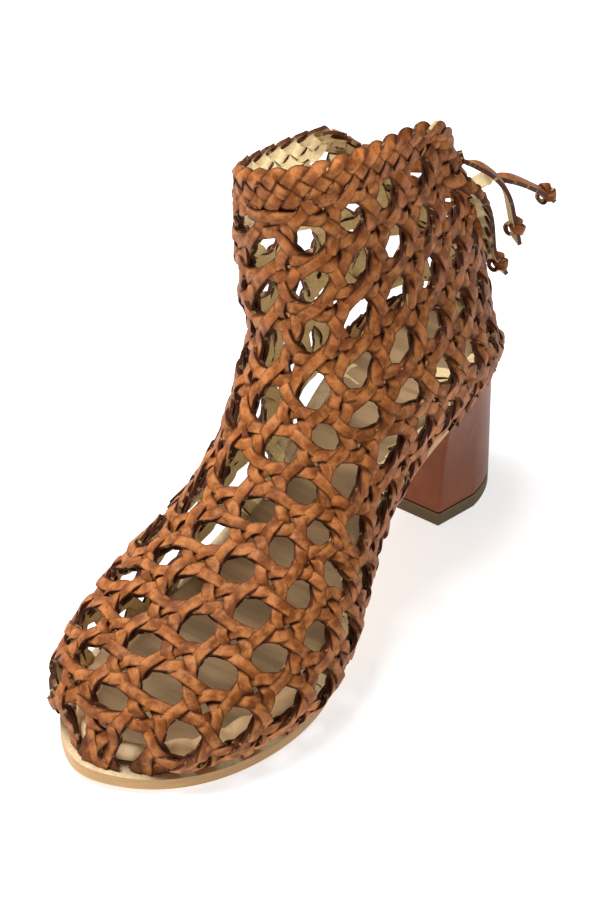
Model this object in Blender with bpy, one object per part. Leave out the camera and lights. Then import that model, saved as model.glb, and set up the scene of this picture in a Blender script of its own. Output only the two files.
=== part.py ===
"""A left ankle bootie plaited from leather strips, on a block heel, laced at the back.

Lengths in the tables are millimetres. A place on the shoe is (x, s, z): x to the
outer side, s forward from the back of the heel seat, z up from the floor. The
model's own frame has its origin under the middle of the heel, with the toe
toward -Y.
"""
import math

import bmesh
import bpy
import numpy as np

MM = 0.001
GAP = 0.3

# ---- driving sizes ------------------------------------------------------------
LENGTH = 248.3
HEEL_MIDDLE = 27.5
BREAST = 55.7
SEAT_HEIGHT = 56.0
SEAT_SLOPE = 0.136
SHANK_END = 174.6
SPRING_START = 192.0
TOE_SPRING = 3.0

SOLE_THICK = 4.6
LIFT_THICK = 6.2
FOOTBED_THICK = 2.6
EDGE_ROUND = 0.8
EDGE_SHARP = math.radians(50)
END_ROOM = 0.4
SMOOTH_BELOW = math.radians(35)
TOE_MIDDLE = -2.5

# The heel's D-shaped outline on the floor and under the seat: back of the curve,
# half the width, half the width at the breast, depth of the curve, breast.
HEEL_FLOOR = (2.0, 28.4, 23.6, 32.4, 53.0)
HEEL_SEAT = (0.3, 27.4, 29.0, 36.0, BREAST - GAP / 2)
HEEL_SQUARE = 2.05
HEEL_CURVE_STEPS = 23
HEEL_WAIST = 0.12
HEEL_WAIST_RINGS = (0.33, 0.67)

WALL_THICK = 2.0
STRIP_RISE = 0.9
HOLE_SIZE = 0.29
HOLE_CORNER = 0.78
HOLE_FROM_EDGE = 0.45
CELL_OVERHANG = 0.75
BRAID_WIDTH = 9.0
BRAID_THICK = 4.4
BRAID_CHAMFER = 0.55
BACK_BRAID_WIDTH = 11.0
BACK_BRAID_THICK = 4.8
BACK_BRAID_ROW = 7.1
VEE_FOOT_ROW = 8.35
TIE_WIDTH = 5.5
TIE_THICK = 1.8
TIE_RADIUS = 1.6
TIE_CLEARANCE = 0.75
TIE_SAG = 0.08
TIE_SAG_BACK = 0.5
TIE_BAR_STEPS = 7
TIE_END_STEPS = 8

# The sole's outline seen from above, round from the back along the outer side.
OUTLINE = (
    (0.0, 0.3), (15.5, 4.6), (24.8, 17.0), (27.6, 34.0), (30.4, 61.0), (29.0, 101.0),
    (40.1, 140.2), (47.5, 177.9), (40.9, 211.5), (28.1, 232.4), (14.0, 243.4),
    (-2.0, LENGTH), (-15.5, 243.4), (-27.5, 231.6), (-37.8, 211.9), (-41.6, 175.0),
    (-33.0, 138.0), (-24.7, 100.0),
    (-26.5, 61.0), (-27.2, 34.0), (-24.8, 17.0), (-15.5, 4.6),
)

# How far the upper's edge lies inside that outline, from heel to toe.
FEATHER_INSET = ((0.0, 4.0), (110.0, 4.0), (180.0, 5.2), (LENGTH, 5.8))
FOOTBED_INSET = ((0.0, 10.5), (20.0, 7.5), (110.0, 6.5), (180.0, 8.5), (LENGTH, 10.0))

# Slices through the upper from the toe to the collar. Each starts on the ridge of
# the foot, bulges to its widest on both sides and ends at its base: the sole's
# edge in front, the closed heel seam and then the open back behind.
SECTION_COLUMNS = ("ridge_x", "ridge_s", "ridge_z", "base_x", "base_s", "base_h",
                   "wide_out", "wide_in", "wide_at", "roll", "square")
SECTIONS = {
    "toe": (-3.0, 241.5, 11.0, 0.0, 241.0, 7.1, 1.0, 1.0, 0.50, 0.00, 2.1),
    "toes": (-0.5, 234.0, 33.0, 0.0, 235.0, 7.1, 27.5, 26.5, 0.60, 0.00, 2.1),
    "knuckle": (-1.0, 215.4, 45.0, 0.0, 207.0, 7.1, 46.0, 38.5, 0.67, 0.00, 2.1),
    "ball": (-0.5, 187.5, 59.5, 0.0, 173.0, 7.1, 54.0, 40.5, 0.67, 0.00, 2.1),
    "vamp": (0.5, 157.0, 76.5, 0.0, 140.0, 7.1, 48.0, 33.0, 0.66, 0.00, 2.1),
    "waist": (0.0, 138.5, 93.5, 0.0, 107.0, 7.1, 38.5, 29.5, 0.60, 0.00, 2.1),
    "instep": (-0.5, 126.5, 105.5, 0.0, 60.0, 7.2, 38.5, 34.0, 0.53, 0.01, 2.2),
    "heel": (-2.0, 120.0, 116.5, 0.0, 6.0, 7.4, 39.0, 38.5, 0.51, 0.05, 2.3),
    "counter": (-4.5, 118.0, 130.0, 0.0, 7.0, 32.0, 31.0, 40.0, 0.49, 0.12, 2.4),
    "vee_foot": (-7.5, 115.5, 146.0, -1.0, 14.0, 58.0, 25.5, 39.0, 0.49, 0.22, 2.5),
    "vee_middle": (-11.0, 114.0, 165.0, -4.0, 31.0, 90.0, 22.0, 35.0, 0.52, 0.33, 2.5),
    "collar": (-14.0, 113.0, 186.0, -8.0, 50.0, 120.0, 20.5, 31.0, 0.58, 0.42, 2.5),
}
BASE_S = SECTION_COLUMNS.index("base_s")
BASE_H = SECTION_COLUMNS.index("base_h")
TOP_ROW = len(SECTIONS) - 1
HEEL_ROW = 7.0
SEAT_TURN_ROW = 6.2
SEAT_SQUARE = 2.3
FIRST_ROW = 0.02
# Half the opening at the back, by slice.
BACK_OPENING = ((HEEL_ROW, 0.7), (8.0, 1.0), (8.5, 3.5), (9.0, 8.0), (10.0, 16.5), (11.0, 24.0))

# ---- the plait ----------------------------------------------------------------
PITCH = 19.5
ROW_STEPS = 45
SIDE_STEPS = 41
LINE_STEPS = 40
# Heading of the plait's first family of strips, degrees from "across", by slice:
# at the inner edge, inner side, ridge, outer side and outer edge.
HEADING = (
    (0.0, (43, 43, 43, 43, 43)),
    (4.0, (43, 43, 43, 43, 43)),
    (5.0, (36, 40, 43, 43, 40)),
    (6.0, (25, 33, 38, 38, 32)),
    (7.0, (12, 18, 24, 22, 20)),
    (8.0, (2, 8, 12, 8, 5)),
    (9.0, (0, 5, 8, -5, -6)),
    (11.0, (0, 5, 8, -8, -10)),
)
# Angle between the two families, by slice.
CROSSING = ((0.0, 104.0), (5.0, 100.0), (7.0, 94.0), (8.0, 91.0), (11.0, 90.0))
# Middles of the gaps that give the plait its lie. Each row is one course of gaps:
# its number, then (place in the course, across from the ridge, along the ridge).
COURSES = {
    -6: ((-2, -27.6, 48), (-3, -13.4, 33), (-4, -1, 22)),
    -5: ((-1, -20, 70), (-2, -10, 56), (-3, 1, 46), (-4, 16, 35.5), (-5, 33.6, 27)),
    -4: ((0, -25.5, 83), (-1, -11, 79), (-2, 3.7, 71), (-3, 16, 60.5), (-4, 31, 50.5),
         (-5, 48.6, 42)),
    -3: ((-1, 1, 93.5), (-2, 17, 87), (-3, 30, 76), (-4, 45, 67), (-5, 60, 60.5)),
    -2: ((0, -5.5, 118), (-1, 11, 110), (-2, 27, 102), (-3, 41.6, 93), (-4, 54.5, 87)),
    -1: ((4, -5, 211), (3, -8, 190), (2, -7, 170), (1, -5, 143), (0, 8.7, 134),
         (-1, 23.6, 125), (-2, 34.5, 115.5), (-3, 47, 108)),
    0: ((4, 13.6, 213), (3, 11, 195.5), (2, 12, 178), (1, 14.5, 156), (0, 22.8, 144.7),
        (-1, 35, 136), (-2, 50, 125)),
    1: ((4, 29.5, 218), (3, 29.5, 202), (2, 27, 184), (1, 26, 166), (0, 31, 153),
        (-1, 49.5, 149.6)),
}
COURSE_PULL = 40.0
SETTLE_ROUNDS = 8
LOCATE_ROUNDS = 16
LOCATE_PACE = 0.8
# Where only the tables steer the strips, the inner ankle: shares across the form
# and slices over which that fades in.
HIDDEN_ACROSS = (0.32, 0.47)
HIDDEN_ROWS = (4.0, 5.5)
OPEN_LEAST, OPEN_MOST = math.radians(66), math.radians(114)

# ---- ties ---------------------------------------------------------------------
# Where each thong crosses the open back, as a slice number.
TIE_ROWS = {"low": 9.2, "middle": 9.6, "high": 10.2}
# Each thong's loose ends as (x, s, z): out through the braid, back, then down to
# the knot, which is its last point but one.
TIE_ENDS = {
    "tie_end_low_outer": ((9.7, 13.2, 129.1), (12, 9.5, 126.5), (13.5, 8, 119.5),
                          (14, 7.3, 111.5), (14.5, 6, 104), (15.5, 3, 98), (16, -0.5, 92)),
    "tie_end_middle_outer": ((12.4, 20.9, 142.5), (15, 18, 144.5), (18, 14.5, 145),
                             (21, 8, 142.5), (23, 0, 137), (25, -9, 129.5),
                             (25.5, -14, 125), (26, -18, 121)),
    "tie_end_high_outer": ((17.1, 33.2, 161.8), (20, 30, 160), (22.5, 26, 156.5),
                           (25, 20.5, 149.5), (26, 15.5, 140.5), (26.5, 13, 131.5),
                           (27, 11, 124), (27, 8.5, 116)),
    "tie_end_low_inner": ((-12.1, 13.0, 124.7), (-14.5, 9.5, 122), (-16.5, 7, 116),
                          (-18, 5.5, 108), (-19, 4.5, 99), (-19.5, 4, 92)),
    "tie_end_middle_inner": ((-17.8, 20.4, 134.8), (-21, 16.5, 134.5), (-24.5, 13.5, 131),
                             (-27, 11.5, 124), (-28.5, 10, 116), (-29.5, 9, 108),
                             (-30, 8.5, 101)),
    "tie_end_high_inner": ((-25.6, 31.7, 149.1), (-29, 28, 148.5), (-32.5, 26, 144.5),
                           (-35.5, 24.5, 138), (-37.5, 23.5, 130), (-39, 22.5, 122),
                           (-40, 22, 115)),
}
TIE_STEP = 4.5
KNOT_SIZE = 2.1

COLOURS = {
    "cognac": ((0.42, 0.125, 0.032), 0.55),
    "heel_leather": ((0.30, 0.085, 0.028), 0.35),
    "sole_edge": ((0.56, 0.32, 0.14), 0.5),
    "suede": ((0.44, 0.27, 0.14), 0.9),
    "lift_rubber": ((0.20, 0.13, 0.06), 0.7),
}


# ---- curves -------------------------------------------------------------------
def natural_spline(values, at):
    """Smooth curve through rows of values, one knot a row, read at row numbers."""
    values = np.asarray(values, float)
    count = len(values)
    matrix = np.eye(count)
    bend = np.zeros_like(values)
    for k in range(1, count - 1):
        matrix[k, k - 1:k + 2] = (1, 4, 1)
        bend[k] = 6 * (values[k - 1] - 2 * values[k] + values[k + 1])
    bend = np.linalg.solve(matrix, bend)
    at = np.asarray(at, float)
    low = np.clip(np.floor(at).astype(int), 0, count - 2)
    b = (at - low).reshape(at.shape + (1,) * (values.ndim - 1))
    a = 1 - b
    curve = a * values[low] + b * values[low + 1]
    return curve + ((a ** 3 - a) * bend[low] + (b ** 3 - b) * bend[low + 1]) / 6


def steady_curve(values, at):
    """Curve through the values that never swings past them."""
    values = np.asarray(values, float)
    rise = np.diff(values)
    slope = np.zeros(len(values))
    slope[[0, -1]] = rise[[0, -1]]
    both = rise[1:] * rise[:-1]
    total = np.where(both > 0, rise[1:] + rise[:-1], 1.0)
    slope[1:-1] = np.where(both > 0, 2 * both / total, 0.0)
    low = min(max(int(at), 0), len(values) - 2)
    b = at - low
    a = 1 - b
    return (values[low] * (1 + 2 * b) * a * a + values[low + 1] * (3 - 2 * b) * b * b
            + slope[low] * b * a * a - slope[low + 1] * a * b * b)


def closed_spline(points, count):
    """Smooth closed curve through the points, as count points evenly numbered."""
    laps = np.asarray(points * 3, float)
    at = len(points) + np.arange(count) * len(points) / count
    return natural_spline(laps, at)


def table(rows, at):
    """Reads a two-column table, straight between its rows."""
    keys = [row[0] for row in rows]
    values = [row[1] for row in rows]
    return np.interp(at, keys, values)


def evenly(points, count):
    """The same line with count points, evenly spaced along it."""
    steps = np.linalg.norm(np.diff(points, axis=0), axis=1)
    run = np.concatenate([[0.0], np.cumsum(steps)])
    at = np.linspace(0, run[-1], count)
    return np.stack([np.interp(at, run, points[:, k]) for k in range(points.shape[1])], 1)


# ---- sole form ----------------------------------------------------------------
ROUND = closed_spline(OUTLINE, 480)


def inset_ring(inset):
    """The sole's outline moved inward by a distance, or by one for each point."""
    ahead = np.roll(ROUND, -1, axis=0) - np.roll(ROUND, 1, axis=0)
    ahead /= np.linalg.norm(ahead, axis=1, keepdims=True)
    inward = np.stack([-ahead[:, 1], ahead[:, 0]], 1)
    return ROUND + inward * np.reshape(inset, (-1, 1))


def side_at(ring, s, outer):
    """A ring's x at s, on its outer or its inner side."""
    middle = np.interp(ring[:, 1], (0, LENGTH), (0, TOE_MIDDLE))
    half = ring[(ring[:, 0] >= middle) == outer]
    half = half[np.argsort(half[:, 1])]
    return np.interp(s, half[:, 1], half[:, 0])


FEATHER = inset_ring(table(FEATHER_INSET, ROUND[:, 1]))


def sole_bottom(s):
    """Height of the sole's underside: seat, shank, flat tread and toe spring."""
    s = np.asarray(s, float)
    run = SHANK_END - BREAST
    u = np.clip((s - BREAST) / run, 0, 1)
    shank = SEAT_HEIGHT * (1 - u * u * (3 - 2 * u)) - SEAT_SLOPE * run * u * (1 - u) ** 2
    seat = SEAT_HEIGHT + SEAT_SLOPE * (BREAST - s)
    spring = np.clip((s - SPRING_START) / (LENGTH - SPRING_START), 0, 1)
    return np.where(s < BREAST, seat, shank) + TOE_SPRING * spring ** 2


# ---- upper form ---------------------------------------------------------------
def base_half(s, row, outer):
    """Distance of a slice's base from the middle, on one side."""
    if row <= SEAT_TURN_ROW:
        return abs(side_at(FEATHER, s, outer))
    if row >= HEEL_ROW:
        return table(BACK_OPENING, row)
    turn_s = section_values(SEAT_TURN_ROW)[BASE_S]
    closing = np.clip((turn_s - s) / (turn_s - SECTIONS["heel"][BASE_S]), 0, 1)
    side = abs(side_at(FEATHER, turn_s, outer)) * (1 - closing ** SEAT_SQUARE) ** (1 / SEAT_SQUARE)
    return max(side, BACK_OPENING[0][1])


def section_values(row):
    """The slice table's numbers at any place between its rows."""
    values = natural_spline(list(SECTIONS.values()), float(row))
    for column in (BASE_S, BASE_H):
        values[column] = steady_curve([line[column] for line in SECTIONS.values()], row)
    return values


def slice_line(row):
    """One slice of the upper from its inner base over the ridge to its outer base."""
    values = section_values(row)
    (ridge_x, ridge_s, ridge_z, base_x, base_s, base_h,
     wide_out, wide_in, wide_at, roll, square) = values
    base_z = float(sole_bottom(np.clip(base_s, 0, LENGTH))) + base_h
    halves = []
    for wide, outer in ((wide_in, False), (wide_out, True)):
        sign = 1 if outer else -1
        half_base = base_half(base_s, row, outer)
        turn = np.linspace(0, math.pi / 2, LINE_STEPS)
        above = wide_at * (1 - np.cos(turn) ** (2 / square))
        x_above = wide * np.sin(turn) ** (2 / square)
        below = wide_at + (1 - wide_at) * np.sin(turn)
        x_below = wide - (wide - half_base) * (1 - np.cos(turn))
        down = np.concatenate([above, below[1:]])
        x = sign * np.concatenate([x_above, x_below[1:]])
        line = np.stack([x + ridge_x + (base_x - ridge_x) * down,
                         ridge_s + (base_s - ridge_s) * down,
                         ridge_z + (base_z - ridge_z) * down + roll * x], 1)
        halves.append(line)
    return halves


def upper_grid(row_steps, side_steps):
    """Points of the upper by slice and by place across it, ridge in the middle."""
    half = side_steps // 2 + 1
    grid = []
    for row in np.linspace(FIRST_ROW, TOP_ROW, row_steps):
        inner, outer = slice_line(row)
        inner = evenly(inner, half)[::-1]
        outer = evenly(outer, half)
        grid.append(np.concatenate([inner, outer[1:]]))
    return to_frame(np.array(grid))


def to_frame(points):
    """From (x, s, z) to the model's frame, still in millimetres."""
    points = np.asarray(points, float)
    return np.stack([points[..., 0], HEEL_MIDDLE - points[..., 1], points[..., 2]], -1)


# ---- the plait's own coordinates ----------------------------------------------
class Plait:
    """Two families of strips of equal pitch laid over the upper's form.

    Every point of the form gets two numbers: one grows by one from strip to strip
    of the first family, the other from strip to strip of the second. They are the
    best fit to the headings, to an equal pitch and to the charted gaps.
    """

    def __init__(self, grid):
        self.grid = grid
        self.rows, self.sides = grid.shape[:2]
        self.across = np.gradient(grid, axis=1)
        self.across_len = np.linalg.norm(self.across, axis=-1, keepdims=True)
        self.across_len = np.maximum(self.across_len, 1e-6)
        self.east = self.across / self.across_len
        self.along = np.gradient(grid, axis=0)
        self.skew = (self.along * self.east).sum(-1)
        north = self.along - self.east * self.skew[..., None]
        self.north_len = np.maximum(np.linalg.norm(north, axis=-1, keepdims=True), 1e-6)
        self.north = north / self.north_len
        normal = np.cross(self.east, self.north)
        self.normal = normal / np.linalg.norm(normal, axis=-1, keepdims=True)
        self.number = self.solve()

    def charted(self):
        """The gaps' places on the grid and their numbers."""
        ridge = self.grid[:, self.sides // 2]
        run = np.linalg.norm(np.diff(ridge, axis=0), axis=1)
        run = np.concatenate([[0.0], np.cumsum(run)])
        places = []
        for course, gaps in COURSES.items():
            for step, across, along in gaps:
                i = np.interp(along, run, np.arange(self.rows))
                low = min(int(i), self.rows - 2)
                line = self.grid[low] * (1 - i + low) + self.grid[low + 1] * (i - low)
                width = np.linalg.norm(np.diff(line, axis=0), axis=1)
                width = np.concatenate([[0.0], np.cumsum(width)])
                width -= width[self.sides // 2]
                j = np.interp(across, width, np.arange(self.sides))
                places.append((i, j, course + 0.5, step + 0.5))
        return places

    def slopes(self, heading, opening):
        """Growth of both numbers over the surface for strips that head this way."""
        c1, s1 = np.cos(heading), np.sin(heading)
        c2, s2 = np.cos(heading + opening), np.sin(heading + opening)
        area = c1 * s2 - s1 * c2
        first = (s2 / area)[..., None] * self.east - (c2 / area)[..., None] * self.north
        second = (c1 / area)[..., None] * self.north - (s1 / area)[..., None] * self.east
        return first / PITCH, second / PITCH

    def wanted(self):
        """Headings and crossing angles from the tables, at every grid point."""
        row = np.linspace(0, TOP_ROW, self.rows)
        keys = [line[0] for line in HEADING]
        columns = [np.interp(row, keys, [line[1][k] for line in HEADING]) for k in range(5)]
        side = np.linspace(0, 1, self.sides)
        heading = [np.interp(side, (0, 0.25, 0.5, 0.75, 1), values) for values in zip(*columns)]
        opening = np.repeat(table(CROSSING, row)[:, None], self.sides, 1)
        return np.radians(heading), np.radians(opening)

    def solve(self):
        size = self.rows * self.sides
        index = np.arange(size).reshape(self.rows, self.sides)
        matrix = np.eye(size) * 1e-9
        edges = []
        for axis in (0, 1):
            start = index.take(range(index.shape[axis] - 1), axis).ravel()
            end = index.take(range(1, index.shape[axis]), axis).ravel()
            flat = self.grid.reshape(-1, 3)
            vector = flat[end] - flat[start]
            length = np.maximum(np.linalg.norm(vector, axis=1), 1.0)
            other = (self.across, self.along)[axis].reshape(-1, 3)
            other = np.linalg.norm(other, axis=1)
            weight = np.maximum((other[start] + other[end]) / 2, 0.3) / length
            np.add.at(matrix, (start, start), weight)
            np.add.at(matrix, (end, end), weight)
            np.add.at(matrix, (start, end), -weight)
            np.add.at(matrix, (end, start), -weight)
            edges.append((start, end, vector, weight))
        pulls = np.zeros((size, 2))
        for i, j, first, second in self.charted():
            keys, shares = self.corner_shares(i, j)
            matrix[np.ix_(keys, keys)] += COURSE_PULL * np.outer(shares, shares)
            pulls[keys] += COURSE_PULL * np.outer(shares, (first, second))
        inverse = np.linalg.inv(matrix)
        table_heading, table_opening = self.wanted()
        hold = self.hidden_side()
        slopes = self.slopes(table_heading, table_opening)
        for _ in range(SETTLE_ROUNDS):
            load = pulls.copy()
            for k, slope in enumerate(slopes):
                flat = slope.reshape(-1, 3)
                for start, end, vector, weight in edges:
                    growth = ((flat[start] + flat[end]) / 2 * vector).sum(1) * weight
                    np.add.at(load[:, k], end, growth)
                    np.add.at(load[:, k], start, -growth)
            number = (inverse @ load).reshape(self.rows, self.sides, 2)
            heading, opening = self.lie(number, table_heading)
            heading = table_heading + (heading - table_heading) * (1 - hold)
            opening = table_opening + (opening - table_opening) * (1 - hold)
            slopes = self.slopes(heading, opening)
        return number

    def corner_shares(self, i, j):
        low_i, low_j = min(int(i), self.rows - 2), min(int(j), self.sides - 2)
        a, b = i - low_i, j - low_j
        key = low_i * self.sides + low_j
        keys = [key, key + 1, key + self.sides, key + self.sides + 1]
        return keys, np.array([(1 - a) * (1 - b), (1 - a) * b, a * (1 - b), a * b])

    def hidden_side(self):
        """One where only the tables steer the strips: the inner ankle."""
        row = np.linspace(0, TOP_ROW, self.rows)[:, None]
        side = np.linspace(0, 1, self.sides)[None]
        return np.interp(side, HIDDEN_ACROSS, (1, 0)) * np.interp(row, HIDDEN_ROWS, (0, 1))

    def lie(self, number, near):
        """Where the strips of a solution head, with the opening kept in bounds."""
        growth = []
        for k in (0, 1):
            east = np.gradient(number[..., k], axis=1) / self.across_len[..., 0]
            along = np.gradient(number[..., k], axis=0)
            growth.append((east, (along - east * self.skew) / self.north_len[..., 0]))
        (a1, b1), (a2, b2) = growth
        area = np.maximum(a1 * b2 - b1 * a2, 1e-5)
        first = np.arctan2(-a2 / area, b2 / area)
        second = np.arctan2(a1 / area, -b1 / area)
        opening = np.mod(second - first, 2 * math.pi)
        middle = first + opening / 2
        opening = np.clip(opening, OPEN_LEAST, OPEN_MOST)
        turn = np.mod(middle - opening / 2 - near + math.pi, 2 * math.pi) - math.pi
        return near + turn, opening

    def read(self, field, place):
        """A grid of values read between its points."""
        i, j = place[:, 0], place[:, 1]
        low_i = np.clip(np.floor(i).astype(int), 0, self.rows - 2)
        low_j = np.clip(np.floor(j).astype(int), 0, self.sides - 2)
        a, b = (i - low_i)[:, None], (j - low_j)[:, None]
        return (field[low_i, low_j] * (1 - a) * (1 - b) + field[low_i + 1, low_j] * a * (1 - b)
                + field[low_i, low_j + 1] * (1 - a) * b + field[low_i + 1, low_j + 1] * a * b)

    def locate(self, numbers):
        """The grid places that have these numbers."""
        numbers = np.asarray(numbers, float)
        flat = self.number.reshape(-1, 2)
        near = ((numbers[:, None] - flat[None]) ** 2).sum(-1).argmin(1)
        place = np.stack([near // self.sides, near % self.sides], 1).astype(float)
        top = np.array([self.rows - 1, self.sides - 1])
        for _ in range(LOCATE_ROUNDS):
            miss = self.read(self.number, place) - numbers
            step = 0.5
            d_row = (self.read(self.number, place + (step, 0))
                     - self.read(self.number, place - (step, 0)))
            d_side = (self.read(self.number, place + (0, step))
                      - self.read(self.number, place - (0, step)))
            area = d_row[:, 0] * d_side[:, 1] - d_row[:, 1] * d_side[:, 0]
            area = np.where(abs(area) < 1e-6, 1e-6, area)
            move_row = (miss[:, 1] * d_side[:, 0] - miss[:, 0] * d_side[:, 1]) / area
            move_side = (miss[:, 0] * d_row[:, 1] - miss[:, 1] * d_row[:, 0]) / area
            move = np.clip(np.stack([move_row, move_side], 1), -2, 2)
            place = np.clip(place + move * LOCATE_PACE, 0, top)
        return place


# ---- meshes -------------------------------------------------------------------
def material(name):
    colour, rough = COLOURS[name]
    made = bpy.data.materials.get(name) or bpy.data.materials.new(name)
    made.use_nodes = True
    shader = made.node_tree.nodes["Principled BSDF"]
    shader.inputs["Base Color"].default_value = (*colour, 1)
    shader.inputs["Roughness"].default_value = rough
    return made


def add_object(name, points, faces, colour):
    """A mesh object from millimetre points of the model's frame."""
    mesh = bpy.data.meshes.new(name)
    mesh.from_pydata([tuple(p) for p in np.asarray(points) * MM], [], faces)
    mesh.validate()
    body = bmesh.new()
    body.from_mesh(mesh)
    bmesh.ops.recalc_face_normals(body, faces=body.faces)
    body.to_mesh(mesh)
    body.free()
    item = bpy.data.objects.new(name, mesh)
    bpy.context.scene.collection.objects.link(item)
    item.data.materials.append(material(colour))
    mesh.shade_smooth()
    mesh.set_sharp_from_angle(angle=SMOOTH_BELOW)
    return item


def rings_to_faces(ring_count, ring_size, closed=False):
    """Quads between rings of equal size, with end caps unless the run is closed."""
    faces = []
    last = ring_count if closed else ring_count - 1
    for r in range(last):
        here, there = r * ring_size, (r + 1) % ring_count * ring_size
        for k in range(ring_size):
            n = (k + 1) % ring_size
            faces.append((here + k, here + n, there + n, there + k))
    if not closed:
        faces.append(tuple(range(ring_size)))
        faces.append(tuple(range((ring_count - 1) * ring_size, ring_count * ring_size)))
    return faces


def apply_union(item, other):
    """Joins another object into this one as one solid."""
    merge = item.modifiers.new("Join", "BOOLEAN")
    merge.operation = "UNION"
    merge.solver = "EXACT"
    merge.object = other
    bake(item)
    bpy.data.objects.remove(other)


def bake(item):
    """Replaces an object's mesh with what its modifiers make of it."""
    graph = bpy.context.evaluated_depsgraph_get()
    result = bpy.data.meshes.new_from_object(item.evaluated_get(graph))
    item.modifiers.clear()
    item.data = result


# ---- sole, heel and footbed ---------------------------------------------------
def plate(name, inset, start, low, high, colour, count=30):
    """A sole layer between two heights above the sole's underside."""
    ring = inset_ring(inset)
    first, last = ring[:, 1].min() + END_ROOM, ring[:, 1].max() - END_ROOM
    turn = np.linspace(0, math.pi, count)
    stations = (first + last) / 2 - (last - first) / 2 * np.cos(turn)
    if start > first:
        stations = start + (last - start) * np.sin(turn / 2)
    rings = []
    for s in stations:
        base = float(sole_bottom(s))
        right, left = side_at(ring, s, True), side_at(ring, s, False)
        rings.append([(right, s, base + low), (right, s, base + high),
                      (left, s, base + high), (left, s, base + low)])
    points = to_frame(np.array(rings).reshape(-1, 3))
    item = add_object(name, points, rings_to_faces(len(rings), 4), colour)
    round_edges(item, EDGE_ROUND)
    return item


def round_edges(item, width):
    """Small rounded edges on a finished mesh."""
    bevel = item.modifiers.new("Edge", "BEVEL")
    bevel.width = width * MM
    bevel.segments = 1
    bevel.limit_method = "ANGLE"
    bevel.angle_limit = EDGE_SHARP


def outsole():
    return plate("outsole", 0.0, BREAST + GAP / 2, 0.0, SOLE_THICK, "sole_edge")


def footbed():
    """The insole board that shows inside, from the heel seat to the toe."""
    inset = table(FOOTBED_INSET, ROUND[:, 1])
    low = SOLE_THICK + GAP
    return plate("footbed", inset, 0.0, low, low + FOOTBED_THICK, "suede", 36)


def heel_ring(z, share, seat):
    """The heel's D-shaped ring: share 0 is the floor outline, 1 the seat outline."""
    points = []
    sizes = np.array(HEEL_FLOOR) * (1 - share) + np.array(HEEL_SEAT) * share
    back, half, breast_half, back_depth, front = sizes
    outline = [(breast_half, front)]
    for turn in np.linspace(0, math.pi, HEEL_CURVE_STEPS):
        bulge = abs(math.cos(turn)) ** (2 / HEEL_SQUARE) * half
        depth = back_depth * (1 - abs(math.sin(turn)) ** (2 / HEEL_SQUARE))
        outline.append((math.copysign(bulge, math.cos(turn)), back + depth))
    outline.append((-breast_half, front))
    for x, s in outline:
        top = float(sole_bottom(s)) + SOLE_THICK if seat else z
        points.append((x, s, top))
    return points


def heel_block():
    """The covered heel: slightly waisted sides, its top following the seat."""
    floor = LIFT_THICK + GAP
    rings = [heel_ring(floor, 0.0, False)]
    for share in HEEL_WAIST_RINGS:
        waisted = share - HEEL_WAIST * math.sin(math.pi * share)
        height = floor + (SEAT_HEIGHT - LIFT_THICK) * share
        rings.append(heel_ring(height, waisted, False))
    rings.append(heel_ring(0, 1.0, True))
    size = len(rings[0])
    points = to_frame(np.array(rings).reshape(-1, 3))
    return add_object("heel_block", points, rings_to_faces(len(rings), size), "heel_leather")


def top_lift():
    rings = [heel_ring(0.0, 0.0, False), heel_ring(LIFT_THICK, 0.0, False)]
    size = len(rings[0])
    points = to_frame(np.array(rings).reshape(-1, 3))
    return add_object("top_lift", points, rings_to_faces(2, size), "lift_rubber")


# ---- upper --------------------------------------------------------------------
def rim_numbers(plait):
    """The form's edge in the plait's numbers: up the outer side, round the collar."""
    last_row, last_side = plait.rows - 1, plait.sides - 1
    first = 1
    outer = [(i, last_side) for i in range(first, last_row)]
    collar = [(last_row, j) for j in range(last_side, 0, -1)]
    inner = [(i, 0) for i in range(last_row, first - 1, -1)]
    places = np.array(outer + collar + inner)
    return plait.number[places[:, 0], places[:, 1]]


def cell_template(opened):
    """One cell of the plait, flat: a ring of eight quads, or a plain fan."""
    border = [(0, 0), (0.5, 0), (1, 0), (1, 0.5), (1, 1), (0.5, 1), (0, 1), (0, 0.5)]
    if not opened:
        return border + [(0.5, 0.5)], [(k, (k + 1) % 8, 8) for k in range(8)]
    rim = []
    for x, y in border:
        size = HOLE_SIZE if 0.5 in (x, y) else HOLE_SIZE * HOLE_CORNER
        rim.append((0.5 + (x - 0.5) * 2 * size, 0.5 + (y - 0.5) * 2 * size))
    faces = [(k, (k + 1) % 8, 8 + (k + 1) % 8, 8 + k) for k in range(8)]
    return border + rim, faces


def inside(point, outline):
    """How deep a point lies within a closed outline, negative outside."""
    ends = np.roll(outline, -1, axis=0)
    along = ends - outline
    share = ((point - outline) * along).sum(1) / np.maximum((along ** 2).sum(1), 1e-12)
    foot = outline + along * np.clip(share, 0, 1)[:, None]
    gap = np.linalg.norm(point - foot, axis=1).min()
    crosses = (outline[:, 1] > point[1]) != (ends[:, 1] > point[1])
    rise = np.where(abs(along[:, 1]) < 1e-12, 1e-12, along[:, 1])
    cut = outline[:, 0] + (point[1] - outline[:, 1]) / rise * along[:, 0]
    odd = (crosses & (cut > point[0])).sum() % 2
    return gap if odd else -gap


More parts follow.
